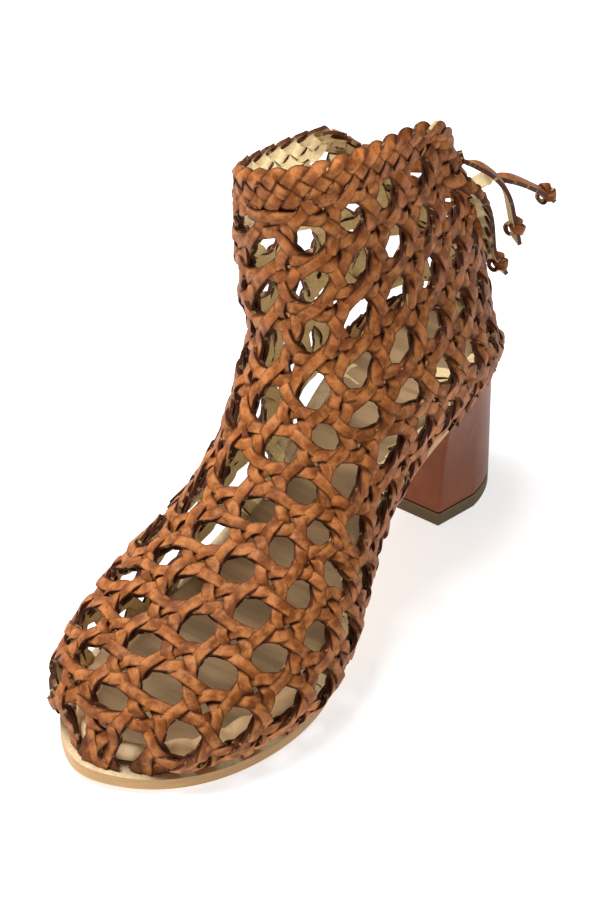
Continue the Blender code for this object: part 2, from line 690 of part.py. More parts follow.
def flat_plait(outline):
    """All cells of the plait as one flat slab, cut to the form's edge."""
    body = bmesh.new()
    low, high = np.floor(outline.min(0)).astype(int), np.ceil(outline.max(0)).astype(int)
    for i in range(low[0], high[0]):
        for j in range(low[1], high[1]):
            depth = inside(np.array((i + 0.5, j + 0.5)), outline)
            if depth < -CELL_OVERHANG:
                continue
            points, faces = cell_template(depth > HOLE_FROM_EDGE)
            corners = [body.verts.new((i + x, j + y, 0)) for x, y in points]
            for face in faces:
                body.faces.new([corners[k] for k in face])
    bmesh.ops.remove_doubles(body, verts=body.verts, dist=1e-4)
    bmesh.ops.recalc_face_normals(body, faces=body.faces)
    top = bmesh.ops.extrude_face_region(body, geom=list(body.faces))["geom"]
    bmesh.ops.translate(body, verts=[v for v in top if isinstance(v, bmesh.types.BMVert)],
                        vec=(0, 0, 1))
    bmesh.ops.recalc_face_normals(body, faces=body.faces)
    return body


def edge_prism(outline):
    body = bmesh.new()
    ring = [body.verts.new((x, y, -1)) for x, y in outline]
    face = body.faces.new(ring)
    top = bmesh.ops.extrude_face_region(body, geom=[face])["geom"]
    bmesh.ops.translate(body, verts=[v for v in top if isinstance(v, bmesh.types.BMVert)],
                        vec=(0, 0, 3))
    bmesh.ops.recalc_face_normals(body, faces=body.faces)
    return body


def object_from(body, name):
    mesh = bpy.data.meshes.new(name)
    body.to_mesh(mesh)
    body.free()
    item = bpy.data.objects.new(name, mesh)
    bpy.context.scene.collection.objects.link(item)
    return item


def raise_plait(item, plait):
    """Wraps the flat slab over the form, thicker where strips cross."""
    mesh = item.data
    flat = np.array([v.co[:] for v in mesh.vertices])
    place = plait.locate(flat[:, :2])
    point = plait.read(plait.grid, place)
    normal = plait.read(plait.normal, place)
    normal /= np.linalg.norm(normal, axis=1, keepdims=True)
    waves = np.cos(2 * math.pi * flat[:, 0]) + np.cos(2 * math.pi * flat[:, 1])
    rise = STRIP_RISE * (0.5 + 0.25 * waves)
    offset = np.where(flat[:, 2] > 0.5, WALL_THICK / 2 + rise, -WALL_THICK / 2)
    wrapped = (point + normal * offset[:, None]) * MM
    for vertex, place in zip(mesh.vertices, wrapped):
        vertex.co = place


def ribbon(name, line, normals, width, thick, closed):
    """A flat band with chamfered edges along a line of millimetre points."""
    count = len(line)
    ahead = np.roll(line, -1, axis=0) - np.roll(line, 1, axis=0)
    if not closed:
        ahead[0], ahead[-1] = line[1] - line[0], line[-1] - line[-2]
    ahead /= np.linalg.norm(ahead, axis=1, keepdims=True)
    side = np.cross(normals, ahead)
    side /= np.linalg.norm(side, axis=1, keepdims=True)
    up = np.cross(ahead, side)
    a, b = width / 2, thick / 2
    c = a * BRAID_CHAMFER
    shape = ((a, 0), (c, b), (-c, b), (-a, 0), (-c, -b), (c, -b))
    points = [line[k] + side[k] * x + up[k] * y for k in range(count) for x, y in shape]
    return add_object(name, points, rings_to_faces(count, len(shape), closed), "cognac")


def edge_place(plait, row, outer):
    """Grid place on the back edge at a slice number."""
    return (row / TOP_ROW * (plait.rows - 1), plait.sides - 1 if outer else 0)


def rim_braid(plait):
    """The braid round the collar and down both edges of the open back."""
    rows = np.linspace(VEE_FOOT_ROW + 0.5, TOP_ROW, 7)
    places = [edge_place(plait, VEE_FOOT_ROW, True)]
    places += [edge_place(plait, row, True) for row in rows]
    places += [(plait.rows - 1, j) for j in np.linspace(plait.sides - 1, 0, 25)[1:-1]]
    places += [edge_place(plait, row, False) for row in rows[::-1]]
    places = np.array(places, float)
    line = plait.read(plait.grid, places)
    normals = plait.read(plait.normal, places)
    line[0, 0] = (line[1, 0] + line[-1, 0]) / 2
    normals[0] = (0, 1, 0)
    return ribbon("rim_braid", line, normals, BRAID_WIDTH, BRAID_THICK, True)


def back_braid(plait):
    """The dense braid that closes the heel seam below the opening."""
    rows = np.linspace(BACK_BRAID_ROW, VEE_FOOT_ROW + 0.1, 8)
    places = np.array([edge_place(plait, row, True) for row in rows])
    line = plait.read(plait.grid, places)
    line[:, 0] = 0.0
    normals = np.tile((0.0, 1.0, 0.0), (len(rows), 1))
    return ribbon("back_braid", line, normals, BACK_BRAID_WIDTH, BACK_BRAID_THICK, False)


def upper(plait):
    """The plaited wall with its gaps, joined to the braids on its edges."""
    outline = rim_numbers(plait)
    wall = object_from(flat_plait(outline), "upper")
    prism = object_from(edge_prism(outline), "edge_prism")
    cut = wall.modifiers.new("Edge", "BOOLEAN")
    cut.operation = "INTERSECT"
    cut.solver = "EXACT"
    cut.object = prism
    bake(wall)
    bpy.data.objects.remove(prism)
    raise_plait(wall, plait)
    wall.data.materials.clear()
    wall.data.materials.append(material("cognac"))
    braids = rim_braid(plait)
    apply_union(braids, back_braid(plait))
    apply_union(wall, braids)
    return wall


# ---- ties -------------------------------------------------------------------------
def tie_bar(name, row, plait):
    """A thong's slack run across the open back, between the two braided edges."""
    places = [edge_place(plait, row, outer) for outer in (False, True)]
    ends = plait.read(plait.grid, np.array(places, float))
    across = ends[1] - ends[0]
    reach = np.linalg.norm(across)
    across /= reach
    clear = (BRAID_WIDTH / 2 + GAP + TIE_CLEARANCE) / reach
    line = []
    for share in np.linspace(clear, 1 - clear, TIE_BAR_STEPS):
        sag = TIE_SAG * reach * 4 * share * (1 - share)
        line.append(ends[0] + across * reach * share + np.array((0, sag * TIE_SAG_BACK, -sag)))
    normals = np.tile((0.0, 1.0, 0.0), (len(line), 1))
    return ribbon(name, np.array(line), normals, TIE_WIDTH, TIE_THICK, False)


def tie_end(name, route):
    """A loose end as a round tube, thicker at its knot."""
    route = to_frame(route)
    steps = np.linalg.norm(np.diff(route, axis=0), axis=1).sum()
    count = max(int(steps / TIE_STEP), TIE_END_STEPS)
    line = natural_spline(route, np.linspace(0, len(route) - 1, count))
    knot = natural_spline(route, len(route) - 2.0)
    curve = bpy.data.curves.new(name, "CURVE")
    curve.dimensions = "3D"
    curve.bevel_depth = TIE_RADIUS * MM
    curve.bevel_resolution = 2
    curve.use_fill_caps = True
    spline = curve.splines.new("POLY")
    spline.points.add(count - 1)
    for point, place in zip(spline.points, line):
        point.co = (*(place * MM), 1)
        near = max(0.0, 1 - np.linalg.norm(place - knot) / TIE_STEP)
        point.radius = 1 + (KNOT_SIZE - 1) * near
    curve.materials.append(material("cognac"))
    item = bpy.data.objects.new(name, curve)
    bpy.context.scene.collection.objects.link(item)
    return item


def main():
    for item in list(bpy.data.objects):
        bpy.data.objects.remove(item)
    outsole()
    footbed()
    heel_block()
    top_lift()
    plait = Plait(upper_grid(ROW_STEPS, SIDE_STEPS))
    upper(plait)
    for level, row in TIE_ROWS.items():
        tie_bar("tie_bar_" + level, row, plait)
    for name, route in TIE_ENDS.items():
        tie_end(name, route)


main()
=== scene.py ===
"""A left ankle bootie plaited from leather strips, on a covered block heel.

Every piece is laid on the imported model: the strips of the plait in their four
directions, the braids on its edges, the thongs at the back, the footbed, the
sole and the heel. Lengths in the tables are millimetres, places on the shoe are
(x, s, z) with s counted forward from the back of the heel seat, and the model's
own frame has its toe toward -Y.
"""

import functools
import math

import bmesh
import bpy
import numpy as np
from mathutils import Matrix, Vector


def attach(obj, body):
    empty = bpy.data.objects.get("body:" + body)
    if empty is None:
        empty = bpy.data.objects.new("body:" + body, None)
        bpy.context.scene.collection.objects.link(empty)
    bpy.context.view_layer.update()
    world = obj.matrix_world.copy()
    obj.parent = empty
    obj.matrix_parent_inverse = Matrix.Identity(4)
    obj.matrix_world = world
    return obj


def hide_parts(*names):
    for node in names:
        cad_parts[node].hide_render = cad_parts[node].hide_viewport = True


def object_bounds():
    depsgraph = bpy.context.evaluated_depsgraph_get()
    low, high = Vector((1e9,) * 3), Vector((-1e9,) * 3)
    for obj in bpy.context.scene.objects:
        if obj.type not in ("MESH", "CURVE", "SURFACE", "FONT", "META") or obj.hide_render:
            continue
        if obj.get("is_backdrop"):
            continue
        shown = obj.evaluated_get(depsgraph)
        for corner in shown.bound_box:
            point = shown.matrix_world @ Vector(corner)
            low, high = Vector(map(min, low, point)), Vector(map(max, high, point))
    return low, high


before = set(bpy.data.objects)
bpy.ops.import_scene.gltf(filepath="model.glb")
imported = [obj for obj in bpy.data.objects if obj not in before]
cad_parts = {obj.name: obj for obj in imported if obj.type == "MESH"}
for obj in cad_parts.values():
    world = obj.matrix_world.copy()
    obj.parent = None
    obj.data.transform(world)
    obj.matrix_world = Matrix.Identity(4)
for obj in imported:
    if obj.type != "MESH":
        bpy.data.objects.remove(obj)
CAD_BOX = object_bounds()

bl_info = {
    "name": "Plaited bootie",
    "version": (1, 0, 0),
    "blender": (4, 5, 0),
    "location": "View3D > Sidebar > Bootie",
    "description": "Lays the strips, braids, thongs, sole and heel of a plaited leather bootie",
    "category": "Add Mesh",
}

MM = 0.001
TINY = 1e-6

# ---- sole and heel ----
# The play between one solid and the next.
GAP = 0.3
LENGTH = 248.3
HEEL_MIDDLE = 27.5
BREAST = 55.7
SEAT_HEIGHT = 56.0
SEAT_SLOPE = 0.136
SHANK_END = 174.6
SPRING_START = 192.0
TOE_SPRING = 3.0

SOLE_THICK = 4.6
LIFT_THICK = 6.2
HEEL_WIDTH = 56.8
HEEL_BREAST_WIDTH = 47.2
HEEL_BACK = 2.0
HEEL_FRONT = 53.0
FOOTBED_THICK = 2.6

# The sole's outline seen from above, round from the back along the outer side.
OUTLINE = (
    (0.0, 0.3), (15.5, 4.6), (24.8, 17.0), (27.6, 34.0), (30.4, 61.0), (29.0, 101.0),
    (40.1, 140.2), (47.5, 177.9), (40.9, 211.5), (28.1, 232.4), (14.0, 243.4),
    (-2.0, LENGTH), (-15.5, 243.4), (-27.5, 231.6), (-37.8, 211.9), (-41.6, 175.0),
    (-33.0, 138.0), (-24.7, 100.0), (-26.5, 61.0), (-27.2, 34.0), (-24.8, 17.0), (-15.5, 4.6),
)

OUTLINE_POINTS = 480
# The x of the line that parts the outer side from the inner, at the heel and the toe.
SIDES_MEET = (0.0, -2.5)
# How far the upper's edge and the footbed lie inside the outline, from heel to toe.
FEATHER_INSET = ((0.0, 4.0), (110.0, 4.0), (180.0, 5.2), (LENGTH, 5.8))
FOOTBED_INSET = ((0.0, 10.5), (20.0, 7.5), (110.0, 6.5), (180.0, 8.5), (LENGTH, 10.0))

# Slices through the upper from the toe to the collar. Each starts on the ridge of
# the foot, bulges to its widest on both sides and ends at its base: the sole's
# edge in front, the closed heel seam and then the open back behind.
SECTION_COLUMNS = ("ridge_x", "ridge_s", "ridge_z", "base_x", "base_s", "base_h",
                   "wide_out", "wide_in", "wide_at", "roll", "square")
SECTIONS = {
    "toe": (-3.0, 241.5, 11.0, 0.0, 241.0, 7.1, 1.0, 1.0, 0.50, 0.00, 2.1),
    "toes": (-0.5, 234.0, 33.0, 0.0, 235.0, 7.1, 27.5, 26.5, 0.60, 0.00, 2.1),
    "knuckle": (-1.0, 215.4, 45.0, 0.0, 207.0, 7.1, 46.0, 38.5, 0.67, 0.00, 2.1),
    "ball": (-0.5, 187.5, 59.5, 0.0, 173.0, 7.1, 54.0, 40.5, 0.67, 0.00, 2.1),
    "vamp": (0.5, 157.0, 76.5, 0.0, 140.0, 7.1, 48.0, 33.0, 0.66, 0.00, 2.1),
    "waist": (0.0, 138.5, 93.5, 0.0, 107.0, 7.1, 38.5, 29.5, 0.60, 0.00, 2.1),
    "instep": (-0.5, 126.5, 105.5, 0.0, 60.0, 7.2, 38.5, 34.0, 0.53, 0.01, 2.2),
    "heel": (-2.0, 120.0, 116.5, 0.0, 6.0, 7.4, 39.0, 38.5, 0.51, 0.05, 2.3),
    "counter": (-4.5, 118.0, 130.0, 0.0, 7.0, 32.0, 31.0, 40.0, 0.49, 0.12, 2.4),
    "vee_foot": (-7.5, 115.5, 146.0, -1.0, 14.0, 58.0, 25.5, 39.0, 0.49, 0.22, 2.5),
    "vee_middle": (-11.0, 114.0, 165.0, -4.0, 31.0, 90.0, 22.0, 35.0, 0.52, 0.33, 2.5),
    "collar": (-14.0, 113.0, 186.0, -8.0, 50.0, 120.0, 20.5, 31.0, 0.58, 0.42, 2.5),
}
BASE_S = SECTION_COLUMNS.index("base_s")
BASE_H = SECTION_COLUMNS.index("base_h")
TOP_ROW = len(SECTIONS) - 1
FIRST_ROW = 0.02
SLICE_STEPS = 40
HEEL_ROW = 7.0
SEAT_TURN_ROW = 6.2
SEAT_ROUND = 2.3
VEE_FOOT_ROW = 8.35
# Half the opening at the back, by slice.
BACK_OPENING = ((HEEL_ROW, 0.7), (8.0, 1.0), (8.5, 3.5), (9.0, 8.0), (10.0, 16.5), (11.0, 24.0))

# ---- the plait ----
PITCH = 19.5
ROW_STEPS = 45
SIDE_STEPS = 41
# Heading of the plait's first family of strips, degrees from "across", by slice:
# at the inner edge, inner side, ridge, outer side and outer edge.
HEADING = (
    (0.0, (43, 43, 43, 43, 43)),
    (4.0, (43, 43, 43, 43, 43)),
    (5.0, (36, 40, 43, 43, 40)),
    (6.0, (25, 33, 38, 38, 32)),
    (7.0, (12, 18, 24, 22, 20)),
    (8.0, (2, 8, 12, 8, 5)),
    (9.0, (0, 5, 8, -5, -6)),
    (11.0, (0, 5, 8, -8, -10)),
)
# Angle between the two families, by slice.
CROSSING = ((0.0, 104.0), (5.0, 100.0), (7.0, 94.0), (8.0, 91.0), (11.0, 90.0))
# Middles of the gaps that give the plait its lie. Each row is one course of gaps:
# its number, then (place in the course, across from the ridge, along the ridge).
COURSES = {
    -6: ((-2, -27.6, 48), (-3, -13.4, 33), (-4, -1, 22)),
    -5: ((-1, -20, 70), (-2, -10, 56), (-3, 1, 46), (-4, 16, 35.5), (-5, 33.6, 27)),
    -4: ((0, -25.5, 83), (-1, -11, 79), (-2, 3.7, 71), (-3, 16, 60.5), (-4, 31, 50.5),
         (-5, 48.6, 42)),
    -3: ((-1, 1, 93.5), (-2, 17, 87), (-3, 30, 76), (-4, 45, 67), (-5, 60, 60.5)),
    -2: ((0, -5.5, 118), (-1, 11, 110), (-2, 27, 102), (-3, 41.6, 93), (-4, 54.5, 87)),
    -1: ((4, -5, 211), (3, -8, 190), (2, -7, 170), (1, -5, 143), (0, 8.7, 134),
         (-1, 23.6, 125), (-2, 34.5, 115.5), (-3, 47, 108)),
    0: ((4, 13.6, 213), (3, 11, 195.5), (2, 12, 178), (1, 14.5, 156), (0, 22.8, 144.7),
        (-1, 35, 136), (-2, 50, 125)),
    1: ((4, 29.5, 218), (3, 29.5, 202), (2, 27, 184), (1, 26, 166), (0, 31, 153),
        (-1, 49.5, 149.6)),
}
COURSE_PULL = 40.0
SETTLE_ROUNDS = 8
# Keeps the numbers from drifting as a whole.
GRID_HOLD = 1e-9
# The least length and width that an edge of the grid counts for.
SHORTEST_EDGE, NARROWEST_EDGE = 1.0, 0.3
LEAST_GROWTH, LEAST_AREA = 1e-5, 1e-7
OPEN_LEAST, OPEN_MOST = math.radians(66), math.radians(114)
# Only the tables steer the strips behind this share of the way across, above this slice.
HIDDEN_SIDE, HIDDEN_SIDE_BLEND = 0.47, 0.15
HIDDEN_ROW, HIDDEN_ROW_BLEND = 4, 1.5

# ---- the ties ----
TIE_ROWS = {"low": 9.2, "middle": 9.6, "high": 10.2}
# Each thong's loose ends as (x, s, z): out through the braid, back, then down to
# the knot, which is its last point but one.
TIE_ENDS = {
    "tie_end_low_outer": ((9.7, 13.2, 129.1), (12, 9.5, 126.5), (13.5, 8, 119.5),
                          (14, 7.3, 111.5), (14.5, 6, 104), (15.5, 3, 98), (16, -0.5, 92)),
    "tie_end_middle_outer": ((12.4, 20.9, 142.5), (15, 18, 144.5), (18, 14.5, 145),
                             (21, 8, 142.5), (23, 0, 137), (25, -9, 129.5),
                             (25.5, -14, 125), (26, -18, 121)),
    "tie_end_high_outer": ((17.1, 33.2, 161.8), (20, 30, 160), (22.5, 26, 156.5),
                           (25, 20.5, 149.5), (26, 15.5, 140.5), (26.5, 13, 131.5),
                           (27, 11, 124), (27, 8.5, 116)),
    "tie_end_low_inner": ((-12.1, 13.0, 124.7), (-14.5, 9.5, 122), (-16.5, 7, 116),
                          (-18, 5.5, 108), (-19, 4.5, 99), (-19.5, 4, 92)),
    "tie_end_middle_inner": ((-17.8, 20.4, 134.8), (-21, 16.5, 134.5), (-24.5, 13.5, 131),
                             (-27, 11.5, 124), (-28.5, 10, 116), (-29.5, 9, 108),
                             (-30, 8.5, 101)),
    "tie_end_high_inner": ((-25.6, 31.7, 149.1), (-29, 28, 148.5), (-32.5, 26, 144.5),
                           (-35.5, 24.5, 138), (-37.5, 23.5, 130), (-39, 22.5, 122),
                           (-40, 22, 115)),
}

# ---- laying the strips ----
FINE_ROWS, FINE_SIDES = 5, 4
SEARCH_BATCH = 6000
LOCATE_ROUNDS = 14
LOCATE_STEP = 0.5
LOCATE_MOST = 6
LOCATE_EASE = 0.8
# How near a grid point a number starts, and how closely it is met, in pitches.
NEAR_ENOUGH = 0.6
NUMBER_MISS = 0.03
LINE_STEP = 0.05
LONGEST_STEP = 3.0
SHORTEST_RUN = 13
STRIP_STEP = 1.6
STRIP_ACROSS = 4
STRIP_LEAST = 4
STRIP_WEAR = 0.14
# Part of the crown that stands over the strip's own level.
CROWN_ABOVE = 0.4
# A slow random wave is the sum of waves of these shares of its length.
WANDER_SHARES = (1.0, 0.53, 0.31)
# Lengths of the slow waves in a strip's course, lean and width, and how far it narrows.
WAVER_LENGTH, ROLL_LENGTH, NARROW_LENGTH = 45.0, 14.0, 20.0
NARROW_SHARE = 0.06
STRIP_SWELL = ((0.0, 1.28), (45.0, 1.25), (90.0, 1.1), (125.0, 1.0), (LENGTH, 1.0))
# The first seed of each group of pieces; the next piece takes the next one.
STRIP_SEED, BRAID_SEED, BAR_SEED, END_SEED, KNOT_SEED = 11, 21, 31, 41, 91
STRIP_FINISHES = ("strip_grain", "strip_flesh", "strip_edge")
BASE_LAST_ROW = 7.0
# Where a strip is highest beside a crossing and how far it runs straight, in pitches.
CROSS_AT = 0.16
KNOT_HALF = 0.13
LAP_RISE = 0.35
# How far short of the upper's edge a strip leaves the plait, from heel to toe. From
# there it is carried down into the seam of the sole.
BASE_CUT = ((0.0, 1.5), (60.0, 1.5), (120.0, 4.0), (180.0, 6.5), (LENGTH, 6.5))
TUCK_STEP = 1.2
TUCK_FALL = 0.85
TUCK_FLARE = ((0.0, -0.1), (130.0, -0.1), (185.0, 0.1), (220.0, 0.2))
TUCK_CLEAR = 0.6
TUCK_MOST = 16
# How far inside the sole's outline the carried ends stay.
TUCK_INSET = 3.2

TRACK_STEP = 1.0
BRAID_STEP = 1.0
BRAID_ROLL_LENGTH, BRAID_ROLL_SHARE = 23.0, 0.15
BRAID_SMOOTH = 4.0
BRAID_TURN = 0.93
FULL_BRAID = 4
BRAID_STRIP_THICK = 1.4
RIM_SIDE_POINTS, RIM_TOP_POINTS, SEAM_POINTS = 60, 160, 40
RIM_DROP = 5.0
RIM_RISE = 0.6
# How far the rim's braid starts under the foot of the opening, and the back's runs over it.
RIM_UNDER, BACK_OVER = 0.15, 0.25
BACK_RISE = 1.0
HEEL_EDGE_ROW = 5.95
HEEL_EDGE_IN = 4.0
HEEL_EDGE_DOWN = 1.0
HEEL_EDGE_OUT = 1.5
# How far from a braid's middle the plait ends beneath it.
COVER_MARGIN = 4.5
COVER_EVERY = 3
# Each braid: its track, number of strips and share of the full width.
BRAIDS = (("rim", 4, 1.0), ("back", 4, 1.0), ("heel", 3, 0.72))

TIE_POINTS = 40
TIE_AXIS = np.array((0.0, -30.0, 0.0))
TIE_SAG = 0.08
TIE_SAG_INWARD = 0.5
TIE_FACING = (0.0, -1.0, 0.25)
TIE_TUCK = 2.0
TIE_OVER = 3.2
TIE_SWELL_IN, TIE_SWELL_REACH = 1.5, 3.5
THONG_STEP = 1.2
THONG_SMOOTH = 1.5
THONG_LEAST = 6
# Which way a knot is turned about its thong, and its depth along it.
KNOT_TURN = (0.31, 0.2, 0.93)
KNOT_DEPTH = 1.3
KNOT_WIDTH_SHARE = 0.72
KNOT_STRIP_THICK = 1.5
KNOT_WALL = 1.4
KNOT_POINTS = 48
KNOT_LAP = 3

FOOTBED_SPREAD = ((0.0, 0.5), (150.0, 1.2), (190.0, 3.0), (LENGTH, 3.6))
FOOTBED_ROWS, FOOTBED_COLUMNS = 130, 36
FOOTBED_WALL = 2.2
# The padded rim's crest: how far in from the edge, its half width and its fullness.
PILLOW_IN = 4.4
PILLOW_HALF = 4.8
PILLOW_FULL = 0.62
PILLOW_PITCH = 16.0
PILLOW_TOE = ((140.0, 0.0), (180.0, 0.5), (205.0, 1.0))
# Rise of the padded rim behind, what the toe adds, and what a pucker's crest adds there.
PILLOW_RISE, PILLOW_TOE_RISE, PILLOW_PUFF_RISE = 0.6, 2.8, 4.2
PILLOW_PUFF_ROUND = 0.6
PILLOW_EDGE, PILLOW_EDGE_DROP = 2.0, 2.2
# The rim's paleness behind, and what the toe adds to it.
PILLOW_PALE, PILLOW_TOE_PALE = 0.05, 0.95
TOE_CENTRE = 190.0
TOE_ROUND = 44.0

SOLE_ROWS, SOLE_COLUMNS = 150, 24
SHEET_END = 0.03
SHEET_HEEL_MARGIN = 3
HEEL_AROUND = 73
HEEL_RINGS = 12
HEEL_WAIST = 0.12
HEEL_ROUND = 2.05
# The heel's D at the floor and at the seat: half width, half width at the breast,
# place of the back, depth from there to the widest place, place of the breast.
HEEL_FLOOR = (HEEL_WIDTH / 2, HEEL_BREAST_WIDTH / 2, HEEL_BACK, 32.4, HEEL_FRONT)
HEEL_SEAT = (27.4, 29.0, 0.3, 36.0, BREAST - GAP / 2)

# ---- the stage, in metres ----
FLOOR_HALF = 4.0
BOOT_MIDDLE, COLLAR_LINING = Vector((0.0, -0.1, 0.05)), Vector((-0.03, -0.05, 0.17))
# Each lamp: its name, place, aim, size and spread, in metres and radians.
LAMPS = (("key", (-0.42, -0.3, 1.4), BOOT_MIDDLE, 0.9, math.pi),
         ("fill", (-1.1, 0.5, 1.0), BOOT_MIDDLE, 1.0, math.pi),
         ("collar", (0.09, -0.11, 0.34), COLLAR_LINING, 0.03, 0.3))


# ---- curves ----
def natural_spline(values, at):
    """Smooth curve through rows of values, one knot a row, read at row numbers."""
    values = np.asarray(values, float)
    count = len(values)
    matrix = np.eye(count)
    bend = np.zeros_like(values)
    for k in range(1, count - 1):
        matrix[k, k - 1:k + 2] = (1, 4, 1)
        bend[k] = 6 * (values[k - 1] - 2 * values[k] + values[k + 1])
    bend = np.linalg.solve(matrix, bend)
    at = np.asarray(at, float)
    low = np.clip(np.floor(at).astype(int), 0, count - 2)
    b = (at - low).reshape(at.shape + (1,) * (values.ndim - 1))
    a = 1 - b
    curve = a * values[low] + b * values[low + 1]
    return curve + ((a ** 3 - a) * bend[low] + (b ** 3 - b) * bend[low + 1]) / 6


def steady_curve(values, at):
    """Curve through the values that never swings past them."""
    values = np.asarray(values, float)
    rise = np.diff(values)
    slope = np.zeros(len(values))
    slope[[0, -1]] = rise[[0, -1]]
    both = rise[1:] * rise[:-1]
    total = np.where(both > 0, rise[1:] + rise[:-1], 1.0)
    slope[1:-1] = np.where(both > 0, 2 * both / total, 0.0)
    low = min(max(int(at), 0), len(values) - 2)
    b = at - low
    a = 1 - b
    return (values[low] * (1 + 2 * b) * a * a + values[low + 1] * (3 - 2 * b) * b * b
            + slope[low] * b * a * a - slope[low + 1] * a * b * b)


def closed_spline(points, count):
    """Smooth closed curve through the points, as count points evenly numbered."""
    laps = np.asarray(points * 3, float)
    at = len(points) + np.arange(count) * len(points) / count
    return natural_spline(laps, at)


def table(rows, at):
    """Reads a two-column table, straight between its rows."""
    keys = [row[0] for row in rows]
    values = [row[1] for row in rows]
    return np.interp(at, keys, values)


def run_along(points):
    """Each point's distance along its line from the first."""
    steps = np.linalg.norm(np.diff(points, axis=0), axis=1)
    return np.concatenate([[0.0], np.cumsum(steps)])


def columns_at(at, keys, rows):
    """Rows of numbers read between their keys, column by column."""
    return np.stack([np.interp(at, keys, column) for column in rows.T], 1)


def evenly(points, count):
    """The same line with count points, evenly spaced along it."""
    run = run_along(points)
    return columns_at(np.linspace(0, run[-1], count), run, points)


def distance_to(points, others):
    """Each point's distance to the nearest of the others, worked out in batches."""
    found = []
    for start in range(0, len(points), SEARCH_BATCH):
        part = points[start:start + SEARCH_BATCH]
        found.append(np.linalg.norm(part[:, None] - others[None], axis=-1).min(1))
    return np.concatenate(found)


# ---- sole form ----
ROUND = closed_spline(OUTLINE, OUTLINE_POINTS)


def inset_ring(inset):
    """The sole's outline moved inward by a distance, or by one for each point."""
    ahead = np.roll(ROUND, -1, axis=0) - np.roll(ROUND, 1, axis=0)
    ahead /= np.linalg.norm(ahead, axis=1, keepdims=True)
    inward = np.stack([-ahead[:, 1], ahead[:, 0]], 1)
    return ROUND + inward * np.reshape(inset, (-1, 1))


def side_at(ring, s, outer):
    """A ring's x at s, on its outer or its inner side."""
    middle = np.interp(ring[:, 1], (0, LENGTH), SIDES_MEET)
    half = ring[(ring[:, 0] >= middle) == outer]
    half = half[np.argsort(half[:, 1])]
    return np.interp(s, half[:, 1], half[:, 0])


FEATHER = inset_ring(table(FEATHER_INSET, ROUND[:, 1]))
TUCK_RING = inset_ring(TUCK_INSET)


def sole_bottom(s):
    """Height of the sole's underside: seat, shank, flat tread and toe spring."""
    s = np.asarray(s, float)
    run = SHANK_END - BREAST
    u = np.clip((s - BREAST) / run, 0, 1)
    shank = SEAT_HEIGHT * (1 - u * u * (3 - 2 * u)) - SEAT_SLOPE * run * u * (1 - u) ** 2
    seat = SEAT_HEIGHT + SEAT_SLOPE * (BREAST - s)
    spring = np.clip((s - SPRING_START) / (LENGTH - SPRING_START), 0, 1)
    return np.where(s < BREAST, seat, shank) + TOE_SPRING * spring ** 2


# ---- upper form ----
def base_half(s, row, outer):
    """Distance of a slice's base from the middle, on one side."""
    if row <= SEAT_TURN_ROW:
        return abs(side_at(FEATHER, s, outer))
    if row >= HEEL_ROW:
        return table(BACK_OPENING, row)
    turn_s = section_values(SEAT_TURN_ROW)[BASE_S]
    closing = np.clip((turn_s - s) / (turn_s - SECTIONS["heel"][BASE_S]), 0, 1)
    rounded = (1 - closing ** SEAT_ROUND) ** (1 / SEAT_ROUND)
    side = abs(side_at(FEATHER, turn_s, outer)) * rounded
    return max(side, BACK_OPENING[0][1])


def section_values(row):
    """The slice table's numbers at any place between its rows."""
    values = natural_spline(list(SECTIONS.values()), float(row))
    for column in (BASE_S, BASE_H):
        values[column] = steady_curve([line[column] for line in SECTIONS.values()], row)
    return values


def slice_line(row):
    """One slice's two halves, inner and outer, each from the ridge to its base."""
    (ridge_x, ridge_s, ridge_z, base_x, base_s, base_h,
     wide_out, wide_in, wide_at, roll, square) = section_values(row)
    base_z = float(sole_bottom(np.clip(base_s, 0, LENGTH))) + base_h
    halves = []
    for wide, outer in ((wide_in, False), (wide_out, True)):
        sign = 1 if outer else -1
        half_base = base_half(base_s, row, outer)
        turn = np.linspace(0, math.pi / 2, SLICE_STEPS)
        above = wide_at * (1 - np.cos(turn) ** (2 / square))
        x_above = wide * np.sin(turn) ** (2 / square)
        below = wide_at + (1 - wide_at) * np.sin(turn)
        x_below = wide - (wide - half_base) * (1 - np.cos(turn))
        down = np.concatenate([above, below[1:]])
        x = sign * np.concatenate([x_above, x_below[1:]])
        line = np.stack([x + ridge_x + (base_x - ridge_x) * down,
                         ridge_s + (base_s - ridge_s) * down,
                         ridge_z + (base_z - ridge_z) * down + roll * x], 1)
        halves.append(line)
    return halves


def upper_grid(row_steps, side_steps):
    """Points of the upper by slice and by place across it, ridge in the middle."""
    half = side_steps // 2 + 1
    grid = []
    for row in np.linspace(FIRST_ROW, TOP_ROW, row_steps):
        inner, outer = slice_line(row)
        inner = evenly(inner, half)[::-1]
        outer = evenly(outer, half)
        grid.append(np.concatenate([inner, outer[1:]]))
    return to_frame(np.array(grid))


def to_frame(points):
    """From (x, s, z) to the model's frame, still in millimetres."""
    points = np.asarray(points, float)
    return np.stack([points[..., 0], HEEL_MIDDLE - points[..., 1], points[..., 2]], -1)


